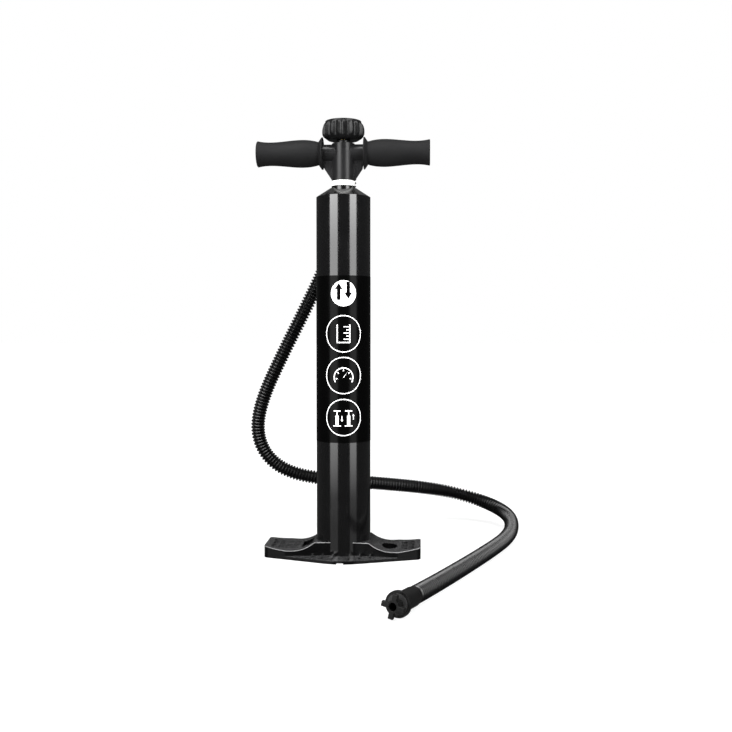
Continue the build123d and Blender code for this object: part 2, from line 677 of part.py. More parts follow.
def grip(side):
    """Rubber grip with a flared guard at the hub, a palm swell and a closed flared end."""
    bore = ARM_R + FIT
    line = [
        Polyline((GRIP_START_X, bore), (GRIP_START_X, GRIP_FLANGE_R), (GRIP_START_X + 1.5, GRIP_FLANGE_R),
                 (GRIP_NECK_X, GRIP_NECK_R)),
        Spline((GRIP_NECK_X, GRIP_NECK_R), (GRIP_BULGE_X, GRIP_BULGE_R), (GRIP_WAIST_X, GRIP_WAIST_R),
               (HANDLE_HALF_L - 1, GRIP_END_R)),
        Polyline((HANDLE_HALF_L - 1, GRIP_END_R), (HANDLE_HALF_L, GRIP_END_R - 1), (HANDLE_HALF_L, 0),
                 (ARM_HALF_L + LOOSE, 0), (ARM_HALF_L + LOOSE, bore), (GRIP_START_X, bore)),
    ]
    solid = revolve(make_face(line), Axis.X)
    solid = Pos(0, 0, HANDLE_AXIS_Z) * solid
    return solid if side > 0 else mirror(solid, about=Plane.YZ)


# ---------------------------------------------------------------- gauge
def barrel_shape(shrink):
    """Barrel-shaped blank of the gauge housing, made smaller all round by a depth."""
    foot, waist, top = GAUGE_FOOT_R - shrink, GAUGE_R - shrink, GAUGE_TOP_R - shrink
    side = ThreePointArc((foot, GAUGE_Z), (waist, (GAUGE_Z + GAUGE_TOP_Z) / 2), (top, GAUGE_TOP_Z))
    rest = Polyline((top, GAUGE_TOP_Z), (0, GAUGE_TOP_Z), (0, GAUGE_Z), (foot, GAUGE_Z))
    return revolve(Plane.XZ * make_face([side, rest]), Axis.Z)


def gauge_housing():
    """Ribbed housing that is turned by hand, open at the top for the dial."""
    outer = barrel_shape(0)
    housing = barrel_shape(GAUGE_RIB_DEPTH)
    for rib in range(GAUGE_RIBS):
        blade = slab(CAN_R, GAUGE_R + 1, -GAUGE_RIB_W / 2, GAUGE_RIB_W / 2, GAUGE_Z, GAUGE_TOP_Z)
        housing = housing + (Rot(0, 0, 360 * rib / GAUGE_RIBS) * blade & outer)
    housing = housing + cyl(GAUGE_TOP_R, GAUGE_TOP_Z - GAUGE_RIM_T, GAUGE_TOP_Z)
    housing = housing - cyl(DIAL_R + FIT, GAUGE_Z + GAUGE_FLOOR_T, GAUGE_TOP_Z + 1)
    housing = housing - cyl(DIAL_R + LENS_EDGE + FIT, GAUGE_Z + LENS_SEAT_UP, GAUGE_TOP_Z + 1)
    return housing - cyl(GAUGE_BORE_R, GAUGE_Z - 1, GAUGE_Z + GAUGE_FLOOR_T + 1)


def gauge_stem():
    """Brass stem that screws into the hub's air tower."""
    return ring(GAUGE_BORE_R - FIT, SPINDLE_R * 2, GAUGE_Z - GAUGE_THREAD_L, GAUGE_Z + GAUGE_FLOOR_T)


def gauge_movement():
    """Can that holds the pressure movement, with its spindle."""
    low = GAUGE_Z + GAUGE_FLOOR_T + FLAT_ENDS
    spindle_top = GAUGE_Z + GAUGE_FLOOR_T + SPINDLE_UP
    return cyl(CAN_R, low, low + CAN_H) + cyl(SPINDLE_R, low, spindle_top)


def gauge_dial():
    """Dial plate on the movement."""
    low = GAUGE_Z + GAUGE_FLOOR_T + CAN_H + FIT
    return ring(DIAL_R, 2 * SPINDLE_R, low, low + DIAL_T)


def gauge_needle():
    """Needle on the movement's spindle, at the dial's zero."""
    low = GAUGE_Z + NEEDLE_UP
    corners = (-NEEDLE_TAIL, -1.2), (NEEDLE_REACH, -0.4), (NEEDLE_REACH, 0.4), (-NEEDLE_TAIL, 1.2)
    shape = make_face(Polyline(*corners, close=True))
    needle = Pos(0, 0, low) * extrude(shape, NEEDLE_T) + cyl(NEEDLE_HUB_R, low, low + NEEDLE_HUB_H)
    needle = needle - cyl(SPINDLE_R + FIT, low - 1, low + NEEDLE_HUB_H + 1)
    return Rot(0, 0, NEEDLE_REST_DEG) * needle


def gauge_lens():
    """Clear lens over the dial."""
    low = GAUGE_Z + LENS_SEAT_UP
    return cyl(DIAL_R + LENS_EDGE, low, low + LENS_T)


def gauge_bezel():
    """Snap ring over the lens."""
    low = GAUGE_Z + LENS_SEAT_UP + LENS_T + FLAT_ENDS
    return ring(DIAL_R + LENS_EDGE, DIAL_R + LENS_EDGE - BEZEL_LIP, low, GAUGE_TOP_Z)


def gauge_seal():
    """Seal ring squeezed between the gauge and the air tower."""
    section = (GAUGE_Z - NECK_TOP_Z) / 2 - FIT
    middle = (GAUGE_Z + NECK_TOP_Z) / 2
    return Pos(0, 0, middle) * revolve(Plane.XZ * (Pos(GAUGE_RING_R, 0) * Circle(section)), Axis.Z)


# ---------------------------------------------------------------- hose
def corner_radii(points):
    """Bend radius for each corner of the hose: as large as its two runs allow."""
    radii = []
    for before, here, after in zip(points, points[1:], points[2:]):
        turn = radians((here - before).get_angle(after - here))
        run = min((here - before).length, (after - here).length)
        radii.append(0.45 * run / tan(turn / 2))
    return radii


def hose():
    """Corrugated hose as a plain tube along its line."""
    points = [Vector(*p) for p in HOSE_ROUTE]
    radii = corner_radii(points)
    line = FilletPolyline(*points, radius=radii)
    wall = Circle(HOSE_R) - Circle(HOSE_R - HOSE_WALL)
    tube = sweep(Plane(origin=line @ 0, z_dir=line % 0) * wall, path=line)
    area = pi * (HOSE_R ** 2 - (HOSE_R - HOSE_WALL) ** 2)
    print("hose bend radii", [round(r) for r in radii])
    print("hose length", round(line.length, 1), "volume", round(tube.volume),
          "expected", round(area * line.length))
    return tube


def hose_elbow():
    """Elbow from the hub's port, turned down into the hose, with a flange at each end."""
    way, corner = port_way()
    start, end = Vector(0, 0, PORT_Z) + way * PORT_FACE_Y, Vector(*HOSE_ROUTE[0])
    line = FilletPolyline(start, corner, end, radius=ELBOW_BEND_R)
    bend = sweep(Plane(origin=start, z_dir=way) * Circle(ELBOW_R), path=line)
    bore = sweep(Plane(origin=start, z_dir=way) * Circle(ELBOW_BORE_R - 1), path=line)
    outlet = Plane(origin=end, z_dir=corner - end)
    elbow = bend + outlet * extrude_circle(HOSE_R, ELBOW_FLANGE_T)
    elbow = elbow + level_rod(PORT_R, PORT_FACE_Y, PORT_FACE_Y + ELBOW_FLANGE_T)
    elbow = elbow + level_rod(PORT_BORE_R - FLAT_ENDS, SPIGOT_R + 1, PORT_FACE_Y)
    return elbow - bore - level_rod(ELBOW_BORE_R - 1, SPIGOT_R, PORT_FACE_Y + 1)


def nozzle_plane(along):
    """Plane across the nozzle's axis at a distance past the hose's end, with its Y upwards."""
    before, end = Vector(*HOSE_ROUTE[-2]), Vector(*HOSE_ROUTE[-1])
    way = (end - before).normalized()
    return Plane(origin=end + way * along, x_dir=Vector(-way.Y, way.X, 0), z_dir=way)


def hose_cuff():
    """Smooth cuff over the hose's end."""
    return nozzle_plane(0) * extrude(Circle(CUFF_R) - Circle(SPIGOT_R), CUFF_L)


def nozzle_body():
    """Valve nozzle: tail in the cuff, flange, hollow nose and bayonet lugs."""
    body = nozzle_plane(CUFF_L - NOSE_TAIL_L) * extrude_circle(SPIGOT_R - FIT, NOSE_TAIL_L)
    body = body + nozzle_plane(CUFF_L) * extrude_circle(FLANGE_R, FLANGE_T)
    body = body + nozzle_plane(CUFF_L + FLANGE_T) * extrude_circle(NOSE_R, NOSE_L)
    lug = Pos(LUG_REACH / 2, 0, LUG_T / 2) * Box(LUG_REACH, LUG_W, LUG_T)
    for turn in range(LUG_COUNT):
        place = nozzle_plane(CUFF_L + FLANGE_T + NOSE_L - LUG_T)
        body = body + place * Rot(0, 0, LUG_START_DEG + 360 * turn / LUG_COUNT) * lug
    return body - nozzle_plane(0) * extrude_circle(NOSE_BORE_R, CUFF_L + FLANGE_T + NOSE_L + 1)


def nozzle_gasket():
    """Flat rubber gasket on the flange's face."""
    return nozzle_plane(CUFF_L + FLANGE_T) * extrude(Circle(GASKET_R) - Circle(NOSE_R + FLAT_ENDS), GASKET_T)


# ---------------------------------------------------------------- every node
NODES = {
    "base_foot": base_foot,
    "base_plug": base_plug,
    "base_plug_ring": lambda: o_ring(BORE_R - FLAT_ENDS, PLUG_RING_Z),
    "base_screws": base_screws,
    "inlet_valve_disc": lambda: valve_disc(BASE_SEAT_Z),
    "inlet_valve_retainer": lambda: valve_retainer(BASE_SEAT_Z),
    "barrel_tube": barrel_tube,
    "label_film": label_film,
    "top_cap": top_cap,
    "cap_ring": lambda: o_ring(BORE_R - FLAT_ENDS, CAP_INSERT_Z + (CAP_INSERT_DEPTH - ORING_SECTION) / 2),
    "rod_bush": rod_bush,
    "rod_seal": rod_seal,
    "rod_seal_keeper": rod_seal_keeper,
    "piston_rod": piston_rod,
    "piston_body": piston_body,
    "piston_cover": piston_cover,
    "piston_screws": lambda: Compound(piston_screw_set()),
    "piston_pin": piston_pin,
    "piston_lower_seal": lambda: lip_seal(BORE_R - SEAL_CLEARANCE, PISTON_SEAL_IN_R, LOW_SEAL_Z, True),
    "piston_upper_seal": lambda: lip_seal(BORE_R - SEAL_CLEARANCE, PISTON_SEAL_IN_R, HIGH_SEAL_Z, False),
    "down_stroke_valve": lambda: valve_disc(PISTON_SEAT_Z),
    "down_stroke_retainer": lambda: valve_retainer(PISTON_SEAT_Z),
    "up_stroke_valve": up_stroke_valve,
    "handle_body": handle_body,
    "handle_cover": handle_cover,
    "handle_pin": handle_pin,
    "hub_screws": lambda: Compound(hub_screw_set()),
    "left_grip": lambda: grip(-1),
    "right_grip": lambda: grip(1),
    "gauge_housing": gauge_housing,
    "gauge_stem": gauge_stem,
    "gauge_movement": gauge_movement,
    "gauge_dial": gauge_dial,
    "gauge_needle": gauge_needle,
    "gauge_lens": gauge_lens,
    "gauge_bezel": gauge_bezel,
    "gauge_seal": gauge_seal,
    "hose_elbow": hose_elbow,
    "hose": hose,
    "hose_cuff": hose_cuff,
    "nozzle_body": nozzle_body,
    "nozzle_gasket": nozzle_gasket,
}

os.makedirs("parts", exist_ok=True)
print("stroke", STROKE)
for node, build in NODES.items():
    export_step(build(), "parts/" + node + ".step")
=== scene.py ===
"""Looks of a double action hand pump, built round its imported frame.

Every size is in metres, in the frame of the part: the barrel stands on the origin, +Z is up, the
label faces -Y and the hose leaves the back of the handle.
"""

import logging
import math
from dataclasses import dataclass, field
from enum import Enum

import bmesh
import bpy
from mathutils import Matrix, Vector


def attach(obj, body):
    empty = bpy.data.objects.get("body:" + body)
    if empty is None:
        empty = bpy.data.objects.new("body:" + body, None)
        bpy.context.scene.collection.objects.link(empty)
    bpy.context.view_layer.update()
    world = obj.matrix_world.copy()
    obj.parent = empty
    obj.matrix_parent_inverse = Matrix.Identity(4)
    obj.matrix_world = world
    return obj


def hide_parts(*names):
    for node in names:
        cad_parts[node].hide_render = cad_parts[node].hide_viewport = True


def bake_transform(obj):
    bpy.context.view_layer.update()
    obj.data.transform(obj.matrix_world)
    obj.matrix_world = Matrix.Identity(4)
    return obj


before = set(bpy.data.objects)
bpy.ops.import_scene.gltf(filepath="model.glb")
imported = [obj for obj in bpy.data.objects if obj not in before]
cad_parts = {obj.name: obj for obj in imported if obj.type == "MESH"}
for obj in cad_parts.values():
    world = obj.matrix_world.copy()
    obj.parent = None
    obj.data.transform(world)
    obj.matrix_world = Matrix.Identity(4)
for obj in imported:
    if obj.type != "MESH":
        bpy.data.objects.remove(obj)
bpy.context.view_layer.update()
LOG = logging.getLogger("hand_pump")

Point = tuple[float, float, float]


# ---------------------------------------------------------------- finishes
class Wear(Enum):
    """How much handling a finish shows."""

    NEW = 0.0
    LIGHT = 0.12
    HANDLED = 0.3


@dataclass(frozen=True)
class Finish:
    """One finish: its colours, gloss and fine relief."""

    name: str
    colour: Point
    second: Point
    roughness: tuple[float, float]
    grain_size: float = 2500.0
    grain_depth: float = 0.00002
    metallic: float = 0.0
    coat: float = 0.0
    coat_roughness: float = 0.03
    ior: float = 1.5
    specular: float = 0.5
    wear: Wear = Wear.NEW
    edge: float = 0.0


GLOSS_BARREL = Finish("gloss_barrel", (0.0025, 0.0025, 0.0026), (0.004, 0.004, 0.0042), (0.10, 0.16), 900.0,
                      0.000002, coat=0.35, coat_roughness=0.04, wear=Wear.LIGHT)
GLOSS_CAP = Finish("gloss_cap", (0.0015, 0.0015, 0.0016), (0.003, 0.003, 0.003), (0.14, 0.22), 1400.0,
                   0.000004, wear=Wear.LIGHT)
FOOT_SIDES = Finish("foot_sides", (0.0012, 0.0012, 0.0013), (0.003, 0.003, 0.0032), (0.14, 0.24), 1600.0,
                    0.00001, specular=0.35, wear=Wear.LIGHT, edge=0.0008)
GLOSS_CAP_RIM = Finish("gloss_cap_rim", (0.002, 0.002, 0.002), (0.004, 0.004, 0.004), (0.18, 0.28), 1800.0,
                       0.000004)
LABEL_FILM = Finish("label_film", (0.0008, 0.0008, 0.0008), (0.0012, 0.0012, 0.0012), (0.16, 0.22), 2600.0,
                    0.000002, specular=0.06)
# painted highlight: light grey colour of the bead on the foot's front edges, standing in for edge glints
FOOT_EDGE_PAINTED_HIGHLIGHT = Finish("foot_edge_painted_highlight", (0.16, 0.16, 0.162), (0.24, 0.24, 0.242), (0.2, 0.3), 1600.0, 0.000004)
LABEL_INK = Finish("label_ink", (0.86, 0.86, 0.86), (0.9, 0.9, 0.9), (0.45, 0.55), 3000.0, 0.000003)
HUB_MOULD = Finish("hub_mould", (0.006, 0.006, 0.0062), (0.01, 0.01, 0.0105), (0.24, 0.34), 1800.0,
                   0.00002, specular=0.2, wear=Wear.LIGHT, edge=0.0006)
KNOB_MOULD = Finish("knob_mould", (0.0025, 0.0025, 0.0026), (0.007, 0.007, 0.0073), (0.3, 0.4), 2200.0,
                    0.00003, specular=0.2, wear=Wear.HANDLED)
GRIP_RUBBER = Finish("grip_rubber", (0.0055, 0.0055, 0.0057), (0.009, 0.009, 0.0093), (0.55, 0.72), 1500.0,
                     0.00006, specular=0.08, wear=Wear.HANDLED)
HOSE_SKIN = Finish("hose_skin", (0.002, 0.002, 0.0021), (0.004, 0.004, 0.0042), (0.2, 0.3), 1200.0,
                   0.00001, specular=0.4, wear=Wear.LIGHT)
NOZZLE_MOULD = Finish("nozzle_mould", (0.003, 0.003, 0.003), (0.008, 0.008, 0.008), (0.26, 0.4), 1800.0,
                      0.00002, specular=0.2, wear=Wear.LIGHT, edge=0.0006)
SEAL_RUBBER = Finish("seal_rubber", (0.012, 0.012, 0.012), (0.02, 0.02, 0.02), (0.55, 0.7), 2500.0, 0.00002)
ROD_POLISH = Finish("rod_polish", (0.86, 0.86, 0.87), (0.94, 0.94, 0.94), (0.16, 0.2), 1500.0,
                    0.0000002, metallic=1.0, wear=Wear.LIGHT)
STEEL = Finish("steel", (0.5, 0.5, 0.51), (0.66, 0.66, 0.67), (0.25, 0.4), 2600.0, 0.00001, metallic=1.0)
BRASS = Finish("brass", (0.66, 0.47, 0.2), (0.78, 0.58, 0.28), (0.25, 0.38), 2200.0, 0.00001, metallic=1.0)
BUSH_WHITE = Finish("bush_white", (0.8, 0.8, 0.78), (0.87, 0.87, 0.85), (0.35, 0.45), 2000.0, 0.00001)
DIAL_WHITE = Finish("dial_white", (0.82, 0.82, 0.82), (0.88, 0.88, 0.88), (0.4, 0.5), 3000.0, 0.000004)
NEEDLE_RED = Finish("needle_red", (0.5, 0.015, 0.01), (0.62, 0.02, 0.015), (0.3, 0.4), 3000.0, 0.000004)


def set_range(node: bpy.types.Node, limits: tuple[float, ...]) -> None:
    """Sets a range node's lower and upper limits, first what it reads and then what it gives."""
    for name, value in zip(("From Min", "From Max", "To Min", "To Max"), limits):
        node.inputs[name].default_value = value


class SurfaceGroup:
    """Shader node group of moulded and handled surfaces, shared by every finish."""

    NAME = "handled_surface"
    GRAIN_DETAIL = 4.0
    PATCH_SCALE = 28.0
    PATCH_DETAIL = 6.0
    PATCH_ROUGHNESS = 0.6
    PATCH_SHARE = 0.8
    RUBBED_EDGES = (0.51, 0.62)
    GLOSS_PATCHES = (0.35, 0.65)

    def __init__(self) -> None:
        """Makes the group with its named inputs and outputs."""
        self.tree = bpy.data.node_groups.new(self.NAME, "ShaderNodeTree")
        self._sockets()
        self._nodes()

    def _sockets(self) -> None:
        """Adds the group's inputs and outputs."""
        add = self.tree.interface.new_socket
        for name, kind in (("Colour", "NodeSocketColor"), ("Second Colour", "NodeSocketColor"),
                           ("Smooth", "NodeSocketFloat"), ("Rough", "NodeSocketFloat"),
                           ("Grain Size", "NodeSocketFloat"), ("Wear", "NodeSocketFloat")):
            add(name=name, in_out="INPUT", socket_type=kind)
        for name, kind in (("Base", "NodeSocketColor"), ("Roughness", "NodeSocketFloat"),
                           ("Height", "NodeSocketFloat")):
            add(name=name, in_out="OUTPUT", socket_type=kind)

    def _nodes(self) -> None:
        """Wires grain, broad patches and rubbed edges into the outputs."""
        tree = self.tree
        put = tree.nodes.new
        join = tree.links.new
        entry, leave = put("NodeGroupInput"), put("NodeGroupOutput")
        place = put("ShaderNodeTexCoord")
        grain, patches = put("ShaderNodeTexNoise"), put("ShaderNodeTexNoise")
        grain.inputs["Detail"].default_value = self.GRAIN_DETAIL
        patches.inputs["Scale"].default_value = self.PATCH_SCALE
        patches.inputs["Detail"].default_value = self.PATCH_DETAIL
        patches.inputs["Roughness"].default_value = self.PATCH_ROUGHNESS
        for noise in (grain, patches):
            join(place.outputs["Object"], noise.inputs["Vector"])
        join(entry.outputs["Grain Size"], grain.inputs["Scale"])
        edges = put("ShaderNodeNewGeometry")
        rub = put("ShaderNodeMapRange")
        set_range(rub, self.RUBBED_EDGES)
        join(edges.outputs["Pointiness"], rub.inputs["Value"])
        rubbed = put("ShaderNodeMath")
        rubbed.operation = "MULTIPLY"
        join(rub.outputs["Result"], rubbed.inputs[0])
        join(entry.outputs["Wear"], rubbed.inputs[1])
        shade = put("ShaderNodeMath")
        shade.operation = "MAXIMUM"
        blotch = put("ShaderNodeMath")
        blotch.operation = "MULTIPLY"
        blotch.inputs[1].default_value = self.PATCH_SHARE
        join(patches.outputs["Fac"], blotch.inputs[0])
        join(blotch.outputs[0], shade.inputs[0])
        join(rubbed.outputs[0], shade.inputs[1])
        tint = put("ShaderNodeMix")
        tint.data_type = "RGBA"
        join(shade.outputs[0], tint.inputs["Factor"])
        join(entry.outputs["Colour"], tint.inputs["A"])
        join(entry.outputs["Second Colour"], tint.inputs["B"])
        gloss = put("ShaderNodeMapRange")
        set_range(gloss, self.GLOSS_PATCHES)
        join(patches.outputs["Fac"], gloss.inputs["Value"])
        join(entry.outputs["Smooth"], gloss.inputs["To Min"])
        join(entry.outputs["Rough"], gloss.inputs["To Max"])
        join(tint.outputs["Result"], leave.inputs["Base"])
        join(gloss.outputs["Result"], leave.inputs["Roughness"])
        join(grain.outputs["Fac"], leave.inputs["Height"])


class Finishes:
    """Makes each finish's material once and dresses pieces and nodes in it."""

    EDGE_SAMPLES = 6
    LENS_ROUGHNESS = 0.02
    LENS_IOR = 1.49
    TREAD_FACING = (0.72, 0.9)
    SPECKLE_SCALE = 420.0
    SPECKLE_DOTS = (0.1, 0.55, 1.0, 0.15)
    SPECKLE_COLOUR = (0.1, 0.1, 0.102, 1.0)
    SPECKLE_RELIEF = 6.0

    def __init__(self) -> None:
        """Makes the shared node group."""
        self.surface = SurfaceGroup()
        self.made: dict[str, bpy.types.Material] = {}

    def material(self, finish: Finish) -> bpy.types.Material:
        """Gives the material of a finish, made at its first use.

        Args:
            finish: the finish wanted.

        Returns:
            The finish's material.
        """
        if finish.name in self.made:
            return self.made[finish.name]
        material = bpy.data.materials.new(finish.name)
        material.use_nodes = True
        tree = material.node_tree
        shader = tree.nodes["Principled BSDF"]
        shader.inputs["Metallic"].default_value = finish.metallic
        shader.inputs["IOR"].default_value = finish.ior
        shader.inputs["Specular IOR Level"].default_value = finish.specular
        shader.inputs["Coat Weight"].default_value = finish.coat
        shader.inputs["Coat Roughness"].default_value = finish.coat_roughness
        surface = tree.nodes.new("ShaderNodeGroup")
        surface.node_tree = self.surface.tree
        surface.inputs["Colour"].default_value = (*finish.colour, 1.0)
        surface.inputs["Second Colour"].default_value = (*finish.second, 1.0)
        surface.inputs["Smooth"].default_value, surface.inputs["Rough"].default_value = finish.roughness
        surface.inputs["Grain Size"].default_value = finish.grain_size
        surface.inputs["Wear"].default_value = finish.wear.value
        bump = tree.nodes.new("ShaderNodeBump")
        bump.inputs["Distance"].default_value = finish.grain_depth
        tree.links.new(surface.outputs["Base"], shader.inputs["Base Color"])
        tree.links.new(surface.outputs["Roughness"], shader.inputs["Roughness"])
        tree.links.new(surface.outputs["Height"], bump.inputs["Height"])
        tree.links.new(bump.outputs["Normal"], shader.inputs["Normal"])
        if finish.edge > 0.0:
            rounded = tree.nodes.new("ShaderNodeBevel")
            rounded.samples = self.EDGE_SAMPLES
            rounded.inputs["Radius"].default_value = finish.edge
            tree.links.new(rounded.outputs["Normal"], bump.inputs["Normal"])
        self.made[finish.name] = material
        return material

    def lens(self) -> bpy.types.Material:
        """Makes the clear lens material.

        Returns:
            A clear plastic material.
        """
        material = bpy.data.materials.new("lens_clear")
        material.use_nodes = True
        shader = material.node_tree.nodes["Principled BSDF"]
        shader.inputs["Base Color"].default_value = (1.0, 1.0, 1.0, 1.0)
        shader.inputs["Roughness"].default_value = self.LENS_ROUGHNESS
        shader.inputs["IOR"].default_value = self.LENS_IOR
        shader.inputs["Transmission Weight"].default_value = 1.0
        return material

    def tread(self) -> bpy.types.Material:
        """Makes the foot's material: glossy sides, and a speckled, rougher tread where it faces up.

        Returns:
            The foot's material.
        """
        material = self.material(FOOT_SIDES).copy()
        material.name = "foot_tread"
        tree = material.node_tree
        shader = tree.nodes["Principled BSDF"]
        surface = next(node for node in tree.nodes if node.type == "GROUP")
        bump = next(node for node in tree.nodes if node.type == "BUMP")
        put, join = tree.nodes.new, tree.links.new
        facing, upward = put("ShaderNodeNewGeometry"), put("ShaderNodeSeparateXYZ")
        join(facing.outputs["Normal"], upward.inputs["Vector"])
        top = put("ShaderNodeMapRange")
        set_range(top, self.TREAD_FACING)
        join(upward.outputs["Z"], top.inputs["Value"])
        place, speckle = put("ShaderNodeTexCoord"), put("ShaderNodeTexVoronoi")
        speckle.inputs["Scale"].default_value = self.SPECKLE_SCALE
        join(place.outputs["Object"], speckle.inputs["Vector"])
        dots = put("ShaderNodeMapRange")
        set_range(dots, self.SPECKLE_DOTS)
        join(speckle.outputs["Distance"], dots.inputs["Value"])
        mask = put("ShaderNodeMath")
        mask.operation = "MULTIPLY"
        join(dots.outputs["Result"], mask.inputs[0])
        join(top.outputs["Result"], mask.inputs[1])
        tint = put("ShaderNodeMix")
        tint.data_type = "RGBA"
        tint.inputs["B"].default_value = self.SPECKLE_COLOUR
        join(mask.outputs[0], tint.inputs["Factor"])
        join(surface.outputs["Base"], tint.inputs["A"])
        join(tint.outputs["Result"], shader.inputs["Base Color"])
        relief = put("ShaderNodeMath")
        relief.operation = "ADD"
        join(surface.outputs["Height"], relief.inputs[0])
        scaled = put("ShaderNodeMath")
        scaled.operation = "MULTIPLY"
        scaled.inputs[1].default_value = self.SPECKLE_RELIEF
        join(mask.outputs[0], scaled.inputs[0])
        join(scaled.outputs[0], relief.inputs[1])
        join(relief.outputs[0], bump.inputs["Height"])
        return material

    def dress(self, piece: bpy.types.Object, material: bpy.types.Material) -> bpy.types.Object:
        """Puts one material on a whole piece or carried-over node.

        Args:
            piece: the piece to dress.
            material: the material it takes.

        Returns:
            The same piece.
        """
        if not piece.material_slots:
            piece.data.materials.append(material)
        for place in piece.material_slots:
            place.material = material
        return piece


# ---------------------------------------------------------------- mesh helpers
def new_piece(name: str, points: list, faces: list, smooth: bool = True) -> bpy.types.Object:
    """Makes a mesh object from points and faces and links it to the scene.

    Args:
        name: the piece's name.
        points: its vertices, in metres.
        faces: its faces, as vertex numbers.
        smooth: whether it is shaded smooth.

    Returns:
        The new object.
    """
    mesh = bpy.data.meshes.new(name)
    mesh.from_pydata([tuple(point) for point in points], [], faces)
    mesh.validate()
    if smooth:
        mesh.shade_smooth()
    piece = bpy.data.objects.new(name, mesh)
    bpy.context.scene.collection.objects.link(piece)
    return piece


def lathe(name: str, rows: list, sides: int, ribs: int = 0) -> bpy.types.Object:
    """Turns a closed outline about Z, with an optional wave round the rows that ask for it.

    Args:
        name: the piece's name.
        rows: (radius, height, wave depth) of each corner of the closed outline.
        sides: steps round the axis.
        ribs: waves round the axis.

    Returns:
        The turned piece.
    """
    points, faces = [], []
    for radius, height, wave in rows:
        for side in range(sides):
            turn = 2 * math.pi * side / sides
            dip = (0.5 - 0.5 * math.cos(ribs * turn)) ** 0.5 if wave else 0.0
            reach = radius - wave * dip
            points.append((reach * math.cos(turn), reach * math.sin(turn), height))
    for row in range(len(rows)):
        below, above = row * sides, (row + 1) % len(rows) * sides
        for side in range(sides):
            after = (side + 1) % sides
            faces.append((below + side, below + after, above + after, above + side))
    return new_piece(name, points, faces)


def sharp_above(piece: bpy.types.Object, degrees: float) -> None:
    """Marks edges sharper than an angle, so smooth shading stops at them."""
    piece.data.set_sharp_from_angle(angle=math.radians(degrees))


def crossed(low: float, high: float, value: float) -> float:
    """Smooth step of a value between two limits."""
    share = min(1.0, max(0.0, (value - low) / (high - low)))
    return share * share * (3 - 2 * share)


